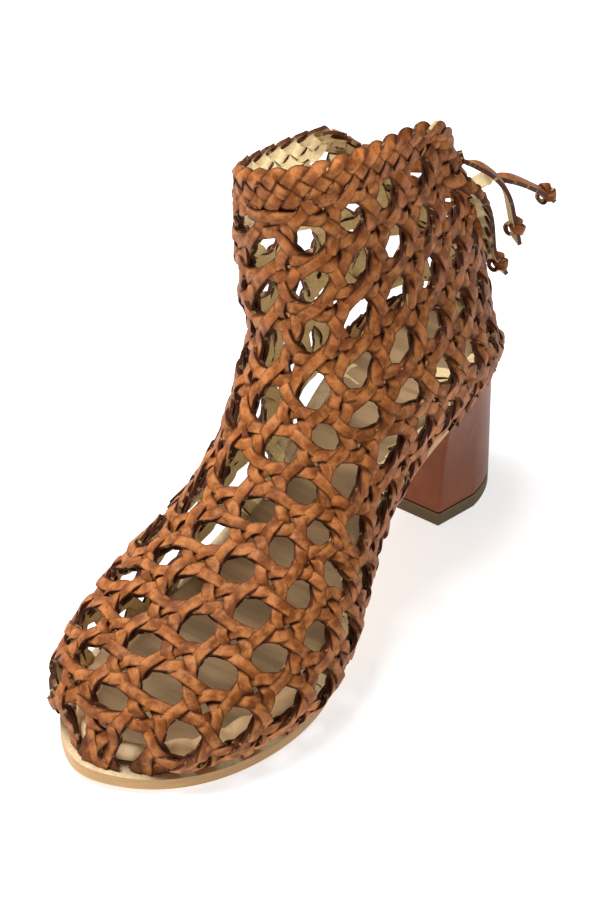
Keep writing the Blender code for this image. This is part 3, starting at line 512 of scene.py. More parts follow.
# ---- the plait's own coordinates ----
class Plait:
    """Two families of strips of equal pitch laid over the upper's form.

    Every point of the form gets two numbers: one grows by one from strip to strip
    of the first family, the other from strip to strip of the second. They are the
    best fit to the headings, to an equal pitch and to the charted gaps.
    """

    def __init__(self, grid):
        self.grid = grid
        self.rows, self.sides = grid.shape[:2]
        self.across = np.gradient(grid, axis=1)
        self.across_len = np.linalg.norm(self.across, axis=-1, keepdims=True)
        self.across_len = np.maximum(self.across_len, TINY)
        self.east = self.across / self.across_len
        self.along = np.gradient(grid, axis=0)
        self.skew = (self.along * self.east).sum(-1)
        north = self.along - self.east * self.skew[..., None]
        self.north_len = np.maximum(np.linalg.norm(north, axis=-1, keepdims=True), TINY)
        self.north = north / self.north_len
        self.number = self.solve()

    def charted(self):
        """The gaps' places on the grid and their numbers."""
        run = run_along(self.grid[:, self.sides // 2])
        places = []
        for course, gaps in COURSES.items():
            for step, across, along in gaps:
                i = np.interp(along, run, np.arange(self.rows))
                low = min(int(i), self.rows - 2)
                line = self.grid[low] * (1 - i + low) + self.grid[low + 1] * (i - low)
                width = run_along(line)
                width -= width[self.sides // 2]
                j = np.interp(across, width, np.arange(self.sides))
                places.append((i, j, course + 0.5, step + 0.5))
        return places

    def slopes(self, heading, opening):
        """Growth of both numbers over the surface for strips that head this way."""
        c1, s1 = np.cos(heading), np.sin(heading)
        c2, s2 = np.cos(heading + opening), np.sin(heading + opening)
        area = c1 * s2 - s1 * c2
        first = (s2 / area)[..., None] * self.east - (c2 / area)[..., None] * self.north
        second = (c1 / area)[..., None] * self.north - (s1 / area)[..., None] * self.east
        return first / PITCH, second / PITCH

    def wanted(self):
        """Headings and crossing angles from the tables, at every grid point."""
        row = np.linspace(0, TOP_ROW, self.rows)
        keys, headings = zip(*HEADING)
        columns = columns_at(row, keys, np.array(headings, float))
        side = np.linspace(0, 1, self.sides)
        heading = [np.interp(side, (0, 0.25, 0.5, 0.75, 1), values) for values in columns]
        opening = np.repeat(table(CROSSING, row)[:, None], self.sides, 1)
        return np.radians(heading), np.radians(opening)

    def solve(self):
        """The numbers, settled over a few rounds to the headings that they give."""
        size = self.rows * self.sides
        index = np.arange(size).reshape(self.rows, self.sides)
        matrix = np.eye(size) * GRID_HOLD
        edges = []
        for axis in (0, 1):
            start = index.take(range(index.shape[axis] - 1), axis).ravel()
            end = index.take(range(1, index.shape[axis]), axis).ravel()
            flat = self.grid.reshape(-1, 3)
            vector = flat[end] - flat[start]
            length = np.maximum(np.linalg.norm(vector, axis=1), SHORTEST_EDGE)
            other = (self.across, self.along)[axis].reshape(-1, 3)
            other = np.linalg.norm(other, axis=1)
            weight = np.maximum((other[start] + other[end]) / 2, NARROWEST_EDGE) / length
            np.add.at(matrix, (start, start), weight)
            np.add.at(matrix, (end, end), weight)
            np.add.at(matrix, (start, end), -weight)
            np.add.at(matrix, (end, start), -weight)
            edges.append((start, end, vector, weight))
        pulls = np.zeros((size, 2))
        for i, j, first, second in self.charted():
            keys, shares = self.corner_shares(i, j)
            matrix[np.ix_(keys, keys)] += COURSE_PULL * np.outer(shares, shares)
            pulls[keys] += COURSE_PULL * np.outer(shares, (first, second))
        inverse = np.linalg.inv(matrix)
        table_heading, table_opening = self.wanted()
        hold = self.hidden_side()
        slopes = self.slopes(table_heading, table_opening)
        for _ in range(SETTLE_ROUNDS):
            load = pulls.copy()
            for k, slope in enumerate(slopes):
                flat = slope.reshape(-1, 3)
                for start, end, vector, weight in edges:
                    growth = ((flat[start] + flat[end]) / 2 * vector).sum(1) * weight
                    np.add.at(load[:, k], end, growth)
                    np.add.at(load[:, k], start, -growth)
            number = (inverse @ load).reshape(self.rows, self.sides, 2)
            heading, opening = self.lie(number, table_heading)
            heading = table_heading + (heading - table_heading) * (1 - hold)
            opening = table_opening + (opening - table_opening) * (1 - hold)
            slopes = self.slopes(heading, opening)
        return number

    def corner_shares(self, i, j):
        """The four grid points round a place, and each one's share in it."""
        low_i, low_j = min(int(i), self.rows - 2), min(int(j), self.sides - 2)
        a, b = i - low_i, j - low_j
        key = low_i * self.sides + low_j
        keys = [key, key + 1, key + self.sides, key + self.sides + 1]
        return keys, np.array([(1 - a) * (1 - b), (1 - a) * b, a * (1 - b), a * b])

    def hidden_side(self):
        """One where only the tables steer the strips: the inner ankle."""
        row = np.linspace(0, TOP_ROW, self.rows)[:, None]
        side = np.linspace(0, 1, self.sides)[None]
        return (np.clip((HIDDEN_SIDE - side) / HIDDEN_SIDE_BLEND, 0, 1)
                * np.clip((row - HIDDEN_ROW) / HIDDEN_ROW_BLEND, 0, 1))

    def lie(self, number, near):
        """Where the strips of a solution head, with the opening kept in bounds."""
        growth = []
        for k in (0, 1):
            east = np.gradient(number[..., k], axis=1) / self.across_len[..., 0]
            along = np.gradient(number[..., k], axis=0)
            growth.append((east, (along - east * self.skew) / self.north_len[..., 0]))
        (a1, b1), (a2, b2) = growth
        area = np.maximum(a1 * b2 - b1 * a2, LEAST_GROWTH)
        first = np.arctan2(-a2 / area, b2 / area)
        second = np.arctan2(a1 / area, -b1 / area)
        opening = np.mod(second - first, 2 * math.pi)
        middle = first + opening / 2
        opening = np.clip(opening, OPEN_LEAST, OPEN_MOST)
        turn = np.mod(middle - opening / 2 - near + math.pi, 2 * math.pi) - math.pi
        return near + turn, opening


def smooth_along(values, spread):
    """Rows of values blurred along the line by a spread counted in rows."""
    reach = int(spread * 3)
    kernel = np.exp(-0.5 * (np.arange(-reach, reach + 1) / spread) ** 2)
    kernel /= kernel.sum()
    padded = np.concatenate([np.repeat(values[:1], reach, 0), values,
                             np.repeat(values[-1:], reach, 0)])
    return np.stack([np.convolve(padded[:, k], kernel, "valid")
                     for k in range(values.shape[1])], 1)


def unit(vectors):
    return vectors / np.maximum(np.linalg.norm(vectors, axis=-1, keepdims=True), 1e-9)


def heading_of(points):
    """Direction of travel at each point of a line."""
    return unit(np.gradient(points, axis=0))


class Form:
    """The upper's surface on a fine grid, with the plait's numbers spread over it."""

    def __init__(self):
        self.coarse = Plait(upper_grid(ROW_STEPS, SIDE_STEPS))
        self.rows = (ROW_STEPS - 1) * FINE_ROWS + 1
        self.sides = (SIDE_STEPS - 1) * FINE_SIDES + 1
        self.grid = upper_grid(self.rows, self.sides)
        rows = np.linspace(0, ROW_STEPS - 1, self.rows)
        sides = np.linspace(0, SIDE_STEPS - 1, self.sides)
        self.number = np.stack([self.spread(self.coarse.number[..., k], rows, sides)
                                for k in (0, 1)], -1)
        east, north = np.gradient(self.grid, axis=1), np.gradient(self.grid, axis=0)
        self.normal = unit(np.cross(east, north))

    def spread(self, values, rows, sides):
        """Coarse values as a smooth sheet, read at finer rows and sides."""
        return natural_spline(natural_spline(values, rows).T, sides).T

    def read(self, field, place):
        """A grid of values read between its points."""
        i, j = place[:, 0], place[:, 1]
        low_i = np.clip(np.floor(i).astype(int), 0, self.rows - 2)
        low_j = np.clip(np.floor(j).astype(int), 0, self.sides - 2)
        a, b = (i - low_i)[:, None], (j - low_j)[:, None]
        return (field[low_i, low_j] * (1 - a) * (1 - b) + field[low_i + 1, low_j] * a * (1 - b)
                + field[low_i, low_j + 1] * (1 - a) * b + field[low_i + 1, low_j + 1] * a * b)

    def nearest(self, numbers):
        """The coarse grid's nearest place to each pair of numbers, and how near."""
        flat = self.coarse.number.reshape(-1, 2)
        found, gaps = [], []
        for start in range(0, len(numbers), SEARCH_BATCH):
            part = numbers[start:start + SEARCH_BATCH]
            gap = ((part[:, None] - flat[None]) ** 2).sum(-1)
            near = gap.argmin(1)
            found.append(near)
            gaps.append(np.sqrt(gap[np.arange(len(part)), near]))
        near = np.concatenate(found)
        place = np.stack([near // SIDE_STEPS * FINE_ROWS, near % SIDE_STEPS * FINE_SIDES], 1)
        return place.astype(float), np.concatenate(gaps)

    def locate(self, numbers):
        """Grid places that have these numbers, and how far each still misses."""
        place, _ = self.nearest(numbers)
        top = np.array([self.rows - 1, self.sides - 1])
        for _ in range(LOCATE_ROUNDS):
            miss = self.read(self.number, place) - numbers
            d_row, d_side = (self.read(self.number, place + step)
                             - self.read(self.number, place - step)
                             for step in ((LOCATE_STEP, 0), (0, LOCATE_STEP)))
            area = d_row[:, 0] * d_side[:, 1] - d_row[:, 1] * d_side[:, 0]
            area = np.where(abs(area) < LEAST_AREA, LEAST_AREA, area)
            move_row = (miss[:, 1] * d_side[:, 0] - miss[:, 0] * d_side[:, 1]) / area
            move_side = (miss[:, 0] * d_row[:, 1] - miss[:, 1] * d_row[:, 0]) / area
            move = np.clip(np.stack([move_row, move_side], 1), -LOCATE_MOST, LOCATE_MOST)
            place = np.clip(place + move * LOCATE_EASE, 0, top)
        miss = np.linalg.norm(self.read(self.number, place) - numbers, axis=1)
        return place, miss

    def line(self, places):
        """Points and outward directions at a list of grid places."""
        places = np.array(places, float)
        return self.read(self.grid, places), unit(self.read(self.normal, places))

    def base_line(self):
        """Points along the edge that meets the sole, round the toe to both sides."""
        last = int(self.row_of(BASE_LAST_ROW))
        return np.concatenate([self.grid[:last, 0], self.grid[0], self.grid[:last, -1]])

    def row_of(self, slice_number):
        """The grid row at a place in the slice table."""
        return slice_number / TOP_ROW * (self.rows - 1)


@functools.lru_cache
def the_form():
    """The upper's form, worked out once."""
    return Form()


class Track:
    """A smooth line with its sideways and outward directions, evenly spaced."""

    def __init__(self, points, outward, shift, rise):
        run = run_along(points)
        at = np.arange(0, run[-1], TRACK_STEP)
        both = columns_at(at, run, np.concatenate([points, outward], 1))
        both = smooth_along(both, BRAID_SMOOTH)
        points, outward = both[:, :3], unit(both[:, 3:])
        side = unit(np.cross(heading_of(points), outward))
        points = points + side * shift + outward * rise
        self.points = smooth_along(points, BRAID_SMOOTH)
        self.length = len(points) - 1
        ahead = heading_of(self.points)
        side = unit(np.cross(ahead, outward))
        self.lie = np.concatenate([self.points, side, np.cross(side, ahead)], 1)

    def at(self, run, across, rise):
        """Points along the line, set off from it sideways and outward, and their outward."""
        rows = columns_at(run, np.arange(len(self.lie)), self.lie)
        points = rows[:, :3] + rows[:, 3:6] * across[:, None] + rows[:, 6:] * rise[:, None]
        return points, unit(rows[:, 6:])


# ---- strips ----
class Leather:
    """A piece made of many strips: their grids are gathered, then given thickness."""

    def __init__(self, seed):
        self.body = bmesh.new()
        self.lay = self.body.verts.layers.float_vector.new("lay")
        # Each row's depth under the strip's own level; it sets painted shade on the grain where
        # a strip dips under another.
        self.sunk = self.body.verts.layers.float.new("sunk")
        self.chance = np.random.default_rng(seed)

    def wander(self, run, length):
        """A slow random wave between about -1 and 1 along a strip."""
        phase = self.chance.uniform(0, 2 * math.pi, 3)
        return sum(np.sin(run * 2 * math.pi / (length * share) + turn)
                   for share, turn in zip(WANDER_SHARES, phase)) / 3

    def strip(self, points, normals, width, roll=None, narrow=None, thick=None, sunk=None):
        """One strip laid along millimetre points, its grain side facing the normals."""
        settings = bpy.context.scene.bootie_strips
        count = len(points)
        if count < STRIP_LEAST:
            return
        thick = settings.thickness / MM if thick is None else thick
        roll = np.zeros(count) if roll is None else roll
        sunk = np.zeros(count) if sunk is None else sunk
        widths = width * (np.ones(count) if narrow is None else narrow)
        ahead = heading_of(points)
        side = unit(np.cross(ahead, normals))
        up = np.cross(side, ahead)
        turn_cos, turn_sin = np.cos(roll)[:, None], np.sin(roll)[:, None]
        side, up = side * turn_cos + up * turn_sin, up * turn_cos - side * turn_sin
        run = run_along(points)
        tone = self.chance.uniform(-1, 1)
        crown = settings.crown / MM
        made = bmesh.ops.create_grid(self.body, x_segments=STRIP_ACROSS,
                                     y_segments=count - 1, size=1)["verts"]
        places = np.linspace(-1, 1, STRIP_ACROSS + 1)
        for k, vertex in enumerate(made):
            row, column = divmod(k, STRIP_ACROSS + 1)
            u = places[column]
            rise = thick / 2 + crown * (CROWN_ABOVE - u * u)
            place = points[row] + side[row] * (u * widths[row] / 2) + up[row] * rise
            vertex.co = place * MM
            vertex[self.lay] = (run[row], u, tone)
            vertex[self.sunk] = sunk[row]

    def finish(self, name, nodes, thick, slot="strip_leather"):
        """Makes the piece from its grids: grain outside, flesh inside, cut edges."""
        item = piece_from(self.body, name, STRIP_FINISHES, slot)
        walled(item, thick)
        worn_edge(item, STRIP_WEAR * MM, segments=1, angle=50).harden_normals = True
        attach(item, "root")
        if nodes:
            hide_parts(*nodes)
        return item


def piece_from(body, name, finishes, slot):
    """A finished mesh as a named object with its finishes. Its slot is not used."""
    mesh = bpy.data.meshes.new(name)
    body.to_mesh(mesh)
    body.free()
    mesh.shade_smooth()
    item = bpy.data.objects.new(name, mesh)
    bpy.context.scene.collection.objects.link(item)
    for finish in finishes:
        item.data.materials.append(finish_named(finish))
    return item


def walled(item, thick):
    """Gives a sheet its thickness, downward, with its other finishes inside and round it."""
    wall = item.modifiers.new("Thickness", "SOLIDIFY")
    wall.thickness = thick * MM
    wall.offset = -1
    if len(item.data.materials) > 1:
        wall.material_offset = 1
        wall.material_offset_rim = 2


def worn_edge(item, width, segments, angle):
    """Rounds the edges that are sharper than an angle in degrees."""
    edge = item.modifiers.new("Worn edge", "BEVEL")
    edge.width = width
    edge.segments = segments
    edge.limit_method = "ANGLE"
    edge.angle_limit = math.radians(angle)
    return edge


def wave(place, gap):
    """Under at a gap before each whole number and over at a gap after it."""
    off = place - np.round(place)
    near = np.sin(math.pi / 2 * np.clip(off / gap, -1, 1))
    away = np.cos(math.pi / 2 * np.clip((abs(off) - gap) / (0.5 - gap), 0, 1))
    return near * away


def strip_lines(form):
    """Every strip's line in the plait's numbers with its rise and lean, by direction.

    A pair spreads where it crosses the other family and draws together half way
    between, one strip lapped over the other; the slanting strips hug the crossings.
    """
    settings = bpy.context.scene.bootie_strips
    cross, diagonal = settings.cross_rise / MM, settings.diagonal_rise / MM
    low = np.floor(form.number.min((0, 1))).astype(int)
    high = np.ceil(form.number.max((0, 1))).astype(int)
    lines = {"rows": [], "columns": [], "rising": [], "falling": []}
    for family, axis in (("rows", 0), ("columns", 1)):
        run = np.arange(low[axis], high[axis] + LINE_STEP, LINE_STEP)
        off = np.clip((abs(run - np.round(run)) - KNOT_HALF) / (0.5 - KNOT_HALF), 0, 1)
        between = (1 - np.cos(math.pi * off)) / 2
        gap = settings.pair_gap * (1 - between) + settings.pinch_gap * between
        lapped = between ** 2
        lean = settings.lap_lean * lapped
        for turn in (1, -1):
            over = turn if axis == 0 else -turn
            rise = over * (cross * wave(run, CROSS_AT) + LAP_RISE * lapped)
            for course in range(low[1 - axis], high[1 - axis] + 1):
                line = (run, course + turn * gap)
                lines[family].append((*line[::1 if axis == 0 else -1], rise, lean))
    run = np.arange(low[0], high[0] + LINE_STEP, LINE_STEP)
    around = diagonal * np.cos(2 * math.pi * run)
    hug = settings.hug * np.sin(2 * math.pi * run)
    level = np.zeros(len(run))
    for course in range(low[1] - high[0] - 1, high[1] - low[0] + 1):
        line = (run - hug, run + course + 0.5 + hug)
        lines["rising"].append((*line, -around, level))
    for course in range(low[1] + low[0] - 1, high[1] + high[0] + 1):
        line = (run - hug, course + 0.5 - run - hug)
        lines["falling"].append((*line, around, level))
    return lines


def drawn_in(place):
    """A place beyond the sole's edge, less half a strip, brought back to it."""
    flat = np.array((place[0], HEEL_MIDDLE - place[1]))
    k = np.linalg.norm(TUCK_RING - flat, axis=1).argmin() - 1
    ahead = TUCK_RING[k + 1] - TUCK_RING[k - 1]
    if (flat - TUCK_RING[k]) @ (-ahead[1], ahead[0]) > 0:
        return place
    x, s = TUCK_RING[k]
    return np.array((x, HEEL_MIDDLE - s, place[2]))


def tuck(points, normals):
    """The line carried straight down from the plait's edge into the seam of the sole."""
    ahead, normal, place = unit(points[-1] - points[-3]), normals[-1], points[-1]
    down = unit(normal * normal[2] - (0, 0, 1.0))
    beside = np.cross(normal, down)
    fall = max(ahead @ down, TUCK_FALL)
    sideways = math.copysign(math.sqrt(max(1 - fall * fall, 0)), ahead @ beside)
    flare = table(TUCK_FLARE, HEEL_MIDDLE - place[1])
    step = TUCK_STEP * unit(down * fall + beside * sideways + normal * flare)
    tail = []
    while len(tail) < TUCK_MOST:
        place = drawn_in(place + step)
        tail.append(place)
        if place[2] < sole_bottom(HEEL_MIDDLE - place[1]) + SOLE_THICK + TUCK_CLEAR:
            break
    return np.concatenate([points, tail]), np.concatenate([normals, [normal] * len(tail)])


def laid_runs(form, lines, covers):
    """The stretches of the lines that lie on the form and clear of the braids."""
    numbers = np.concatenate([np.stack(line[:2], 1) for line in lines])
    rises = np.concatenate([np.stack(line[2:], 1) for line in lines])
    which = np.concatenate([np.full(len(line[0]), k) for k, line in enumerate(lines)])
    _, gap = form.nearest(numbers)
    near = gap < NEAR_ENOUGH
    numbers, rises, which = numbers[near], rises[near], which[near]
    place, miss = form.locate(numbers)
    points, normals = form.line(place)
    base = form.base_line()
    cut = table(BASE_CUT, HEEL_MIDDLE - points[:, 1])
    good = (miss < NUMBER_MISS) & (distance_to(points, base) > cut)
    for track in covers:
        good &= distance_to(points, track.points[::COVER_EVERY]) > COVER_MARGIN
    steps = np.linalg.norm(np.diff(points, axis=0), axis=1)
    joined = (which[1:] == which[:-1]) & good[1:] & good[:-1] & (steps < LONGEST_STEP)
    runs, start = [], 0
    for k in range(len(points)):
        if k == len(points) - 1 or not joined[k]:
            if k - start >= SHORTEST_RUN:
                runs.append(slice(start, k + 1))
            start = k + 1
    for run in runs:
        line = points[run]
        at_base = distance_to(line[[0, -1]], base) < cut[run][[0, -1]] + LONGEST_STEP
        yield line, normals[run], rises[run], *at_base


def lay_family(form, lines, covers, name, seed):
    """All strips of one direction as one piece."""
    settings = bpy.context.scene.bootie_strips
    leather = Leather(seed)
    for line, facing, rise, tuck_start, tuck_end in laid_runs(form, lines, covers):
        run = run_along(line)
        at = np.linspace(0, run[-1], max(int(run[-1] / STRIP_STEP), STRIP_LEAST) + 1)
        rows = columns_at(at, run, np.concatenate([line, facing, rise], 1))
        facing = unit(rows[:, 3:6])
        waver = leather.wander(at, WAVER_LENGTH) * settings.waver / MM
        side = unit(np.cross(heading_of(rows[:, :3]), facing))
        points = rows[:, :3] + facing * rows[:, 6:7] + side * waver[:, None]
        # The negative rise feeds the painted shade where the strip dips under a crossing strip.
        lean, sunk = rows[:, 7], -rows[:, 6]
        before, after = 0, 0
        if tuck_end:
            points, facing = tuck(points, facing)
            after = len(points) - len(lean)
        if tuck_start:
            points, facing = (part[::-1] for part in tuck(points[::-1], facing[::-1]))
            before = len(points) - len(lean) - after
        lean = np.pad(lean, (before, after), "edge")
        sunk = np.pad(sunk, (before, after), "edge")
        steps = np.arange(len(points))
        roll = lean + leather.wander(steps, ROLL_LENGTH) * settings.roll
        narrow = 1 + NARROW_SHARE * leather.wander(steps, NARROW_LENGTH)
        narrow = narrow * table(STRIP_SWELL, HEEL_MIDDLE - points[:, 1])
        leather.strip(points, facing, settings.width / MM, roll, narrow, sunk=sunk)
    return leather.finish(name, ("upper",), settings.thickness / MM)


def braid(leather, track, strands, share):
    """A flat braid along a track, of a share of the full width.

    Each strip runs from edge to edge, over and under in turn.
    """
    settings = bpy.context.scene.bootie_braids
    half_width, width = settings.half_width / MM * share, settings.width / MM
    period = settings.period / MM * strands / FULL_BRAID
    knots = [0.0]
    knots += [(-1.0) ** step for step in range(1, strands)] + [0.0]
    knots += [-((-1.0) ** step) for step in range(strands + 1, 2 * strands)] + [0.0]
    knots = np.array(knots)
    run = np.arange(0.0, track.length, BRAID_STEP)
    for strand in range(strands):
        turn = run / period + strand / strands
        step = np.mod(turn * 2 * strands, 2 * strands)
        low = np.minimum(np.floor(step).astype(int), 2 * strands - 1)
        ease = (1 - np.cos(math.pi * (step - low))) / 2
        rise = knots[low] * (1 - ease) + knots[low + 1] * ease
        swing = np.arcsin(BRAID_TURN * np.cos(2 * math.pi * turn)) / math.asin(BRAID_TURN)
        points, normals = track.at(run, -half_width * swing, rise * settings.rise / MM)
        roll = settings.edge_roll * swing ** 5
        stray = leather.wander(run, BRAID_ROLL_LENGTH) * settings.edge_roll * BRAID_ROLL_SHARE
        roll = roll + stray
        # The braid's strips get the same painted shade where they dip under their neighbours.
        leather.strip(points, normals, width, roll, sunk=-rise * settings.rise / MM)


# ---- finishes ----
class Value:
    """A node's output that can be used in arithmetic."""

    def __init__(self, finish, socket):
        self.finish = finish
        self.socket = socket

    def maths(self, operation, first, second=0.0):
        return self.finish.node("Math", {"operation": operation}, {0: first, 1: second})

    def __add__(self, other):
        return self.maths("ADD", self, other)

    __radd__ = __add__

    def __sub__(self, other):
        return self.maths("SUBTRACT", self, other)

    def __rsub__(self, other):
        return self.maths("SUBTRACT", other, self)

    def __mul__(self, other):
        return self.maths("MULTIPLY", self, other)

    __rmul__ = __mul__

    def __abs__(self):
        return self.maths("ABSOLUTE", self)


class Finish:
    """One material, written as expressions on its surface's coordinates."""

    def __init__(self, name, gloss, glow):
        self.material = bpy.data.materials.new(name)
        self.material.use_nodes = True
        self.tree = self.material.node_tree
        self.shader = self.tree.nodes["Principled BSDF"]
        fixed = {"Specular IOR Level": gloss}
        if glow:
            fixed.update({"Emission Color": (1.0, 1.0, 1.0, 1.0), "Emission Strength": glow})
        for socket, value in fixed.items():
            self.shader.inputs[socket].default_value = value

    def node(self, kind, settings=None, inputs=None, output=0):
        """Adds a node: its settings first, then its sockets' values or links."""
        made = self.tree.nodes.new("ShaderNode" + kind)
        for key, value in (settings or {}).items():
            setattr(made, key, value)
        for key, value in (inputs or {}).items():
            socket = made.inputs[key]
            if isinstance(value, Value):
                self.tree.links.new(value.socket, socket)
            else:
                socket.default_value = value
        return Value(self, made.outputs[output])

    def mix(self, share, first, second):
        """A colour between two others."""
        return self.node("Mix", {"data_type": "RGBA"}, {0: share, 6: first, 7: second}, 2)

    def step(self, value, low, high):
        """Zero below one value and one above the other, smooth between."""
        settings = {"interpolation_type": "SMOOTHSTEP"}
        return self.node("MapRange", settings, {0: value, 1: low, 2: high})

    def tones(self, value, low, high, colour, dark, light):
        """A colour that goes from a darker to a lighter tone as a value grows."""
        return self.mix(self.step(value, low, high), tint(colour, dark), tint(colour, light))

    def over(self, base, value, low, high, colour, share, most=None):
        """A tone laid over the base where a value is high, at most so strongly."""
        cover = self.step(value, low, high)
        if most is not None:
            cover = cover * most
        return self.mix(cover, base, tint(colour, share))

    def noise(self, place, scale, detail=3.0, rough=0.55):
        inputs = {"Vector": place, "Scale": scale, "Detail": detail, "Roughness": rough}
        return self.node("TexNoise", None, inputs)

    def cells(self, place, scale):
        return self.node("TexVoronoi", None, {"Vector": place, "Scale": scale})

    def stretched(self, place, scale):
        """The coordinates with each axis scaled on its own."""
        return self.node("Mapping", None, {"Vector": place, "Scale": scale})

    def part(self, vector, axis):
        return self.node("SeparateXYZ", None, {0: vector}, "XYZ".index(axis))

    def joined(self, x, y, z):
        return self.node("CombineXYZ", None, {0: x, 1: y, 2: z})

    def place(self):
        """The object's own coordinates, in metres."""
        return self.node("TexCoord", None, None, 3)

    def lay(self):
        """Along the strip in millimetres, across it from -1 to 1, and its own tone."""
        laid = self.node("Attribute", {"attribute_name": "lay"}, None, 1)
        return self.part(laid, "X"), self.part(laid, "Y"), self.part(laid, "Z")

    def done(self, colour, rough, height=None, distance=0.0002, strength=1.0):
        """Joins the finished expressions to the shader."""
        links = [(colour, "Base Color"), (rough, "Roughness")]
        if height is not None:
            inputs = {"Strength": strength, "Distance": distance, "Height": height}
            links.append((self.node("Bump", None, inputs), "Normal"))
        for value, socket in links:
            self.tree.links.new(value.socket, self.shader.inputs[socket])


def tint(colour, share):
    """A colour darkened or lightened by a share."""
    return tuple(min(1.0, part * share) for part in colour[:3]) + (1.0,)


def strip_grain(finish, colours):
    """Cognac grain leather: mottled, finely pored, burnished to its edges with painted shade
    added there, and with painted shade where it dips under another strip.
    """
    along, across, tone = finish.lay()
    laid = finish.joined(along * 0.1, across * 0.25, tone * 37.0)
    cloud = finish.noise(laid, 2.2, 4.0)
    fine = finish.noise(laid, 14.0, 5.0, 0.65)
    base = finish.tones(tone, -1.0, 1.0, colours.grain, 0.78, 1.18)
    base = finish.over(base, cloud, 0.35, 0.7, colours.grain_light, 1.0)
    base = finish.over(base, fine, 0.5, 0.75, colours.grain, 0.5, 0.45)
    # Painted shade: the grain darkens where a strip dips under another, standing in for the
    # shadow there.
    sunk = finish.node("Attribute", {"attribute_name": "sunk"}, None, 2)
    base = finish.over(base, sunk, -0.5, 1.1, colours.grain_burnish_and_shade, 0.8, 0.75)
    # Burnished edges, partly painted shade: darkened where one strip meets the next.
    edge = finish.step(abs(across) + (fine - 0.5) * 0.25, 0.66, 1.0)
    base = finish.mix(edge * 0.75, base, tint(colours.grain_burnish_and_shade, 1.0))
    pores = finish.cells(finish.place(), 1500.0)
    crease = finish.noise(finish.joined(along * 0.9, across * 0.15, tone * 11.0), 2.0, 2.0)
    height = pores * 0.35 + fine * 0.5 + crease * 0.4
    finish.done(base, 0.42 + fine * 0.2 - edge * 0.06, height, 0.00025, 0.8)


def strip_flesh(finish, colours):
    """The strips' pale suede side."""
    along, across, tone = finish.lay()
    fibre = finish.noise(finish.joined(along * 0.35, across * 0.8, tone * 23.0), 3.0, 5.0, 0.7)
    base = finish.tones(fibre, 0.3, 0.7, colours.flesh, 0.82, 1.08)
    base = finish.over(base, tone, 0.2, 1.0, colours.flesh_shade, 1.0, 0.35)
    finish.done(base, 0.85 + fibre * 0.1, fibre, 0.0003, 0.8)


def strip_edge(finish, colours):
    """The strips' cut edges, between raw tan and burnished brown."""
    along, across, tone = finish.lay()
    patch = finish.noise(finish.joined(along * 0.12, across, tone * 31.0), 2.0, 3.0)
    base = finish.mix(finish.step(patch, 0.55, 0.68), tint(colours.grain_burnish_and_shade, 1.2),
                      tint(colours.flesh_shade, 0.9))
    finish.done(base, 0.6 + patch * 0.2, patch, 0.0001, 0.5)


def heel_calf(finish, colours):
    """Smooth satin leather, finely mottled, drawn over the heel."""
    place = finish.place()
    cloud = finish.noise(place, 45.0, 4.0, 0.6)
    fleck = finish.noise(place, 700.0, 3.0, 0.7)
    base = finish.tones(cloud, 0.35, 0.7, colours.heel, 0.82, 1.15)
    base = finish.over(base, fleck, 0.5, 0.72, colours.heel, 0.55, 0.35)
    pores = finish.cells(place, 1300.0)
    base = finish.over(base, finish.part(place, "Z"), 0.0075, 0.0062, colours.heel, 0.45, 0.5)
    finish.done(base, 0.34 + fleck * 0.16, pores * 0.4 + fleck * 0.3, 0.0001, 0.6)


def lift_compound(finish, colours):
    """The heel's top lift, dull olive brown with a paler line over it."""
    place = finish.place()
    fleck = finish.noise(place, 400.0, 3.0)
    base = finish.mix(fleck, tint(colours.lift, 0.85), tint(colours.lift, 1.15))
    base = finish.over(base, finish.part(place, "Z"), 0.0050, 0.0056, colours.lift, 1.7, 0.6)
    finish.done(base, 0.6 + fleck * 0.15, fleck, 0.0001, 0.5)


def sole_rim(finish, colours):
    """The sole's rough cream upper face that shows round the plait."""
    place = finish.place()
    nap = finish.noise(place, 420.0, 5.0, 0.7)
    patch = finish.noise(place, 60.0, 3.0)
    base = finish.tones(nap, 0.35, 0.7, colours.rim, 0.84, 1.1)
    base = finish.over(base, patch, 0.6, 0.8, colours.sole_edge, 1.0, 0.3)
    finish.done(base, 0.8 + nap * 0.1, nap, 0.0004, 0.9)


def sole_side(finish, colours):
    """The sole's smooth caramel edge."""
    streak = finish.noise(finish.stretched(finish.place(), (60.0, 60.0, 900.0)), 1.0, 4.0, 0.6)
    base = finish.tones(streak, 0.3, 0.7, colours.sole_edge, 0.86, 1.1)
    finish.done(base, 0.42 + streak * 0.15, streak, 0.0001, 0.5)


def sole_under(finish, colours):
    """The sole's leather underside."""
    place = finish.place()
    cloud = finish.noise(place, 35.0, 4.0)
    fine = finish.noise(place, 600.0, 4.0)
    base = finish.tones(cloud, 0.3, 0.7, colours.sole_edge, 0.75, 1.0)
    finish.done(base, 0.5 + fine * 0.2, fine, 0.0001, 0.6)


def footbed_suede(finish, colours):
    """Worn grey-brown suede, paler over the padded rim."""
    place = finish.place()
    _, _, tone = finish.lay()
    nap = finish.noise(place, 380.0, 5.0, 0.7)
    patch = finish.noise(finish.stretched(place, (14.0, 105.0, 30.0)), 1.0, 3.0, 0.5)
    base = finish.tones(patch, 0.36, 0.64, colours.footbed, 0.66, 1.16)
    base = finish.over(base, tone, 0.1, 0.6, colours.footbed_rim, 1.0)
    base = finish.over(base, nap, 0.5, 0.8, colours.footbed, 0.6, 0.3)
    finish.done(base, 0.85 + nap * 0.1, nap, 0.0003, 0.7)


def studio_floor(finish, colours):
    """A pale even floor that gives off a little light, so shadows stay soft."""
    haze = finish.noise(finish.place(), 3.0, 2.0)
    base = finish.mix(haze, (0.72, 0.72, 0.725, 1.0), (0.74, 0.74, 0.745, 1.0))
    finish.done(base, 0.9 + haze * 0.05)


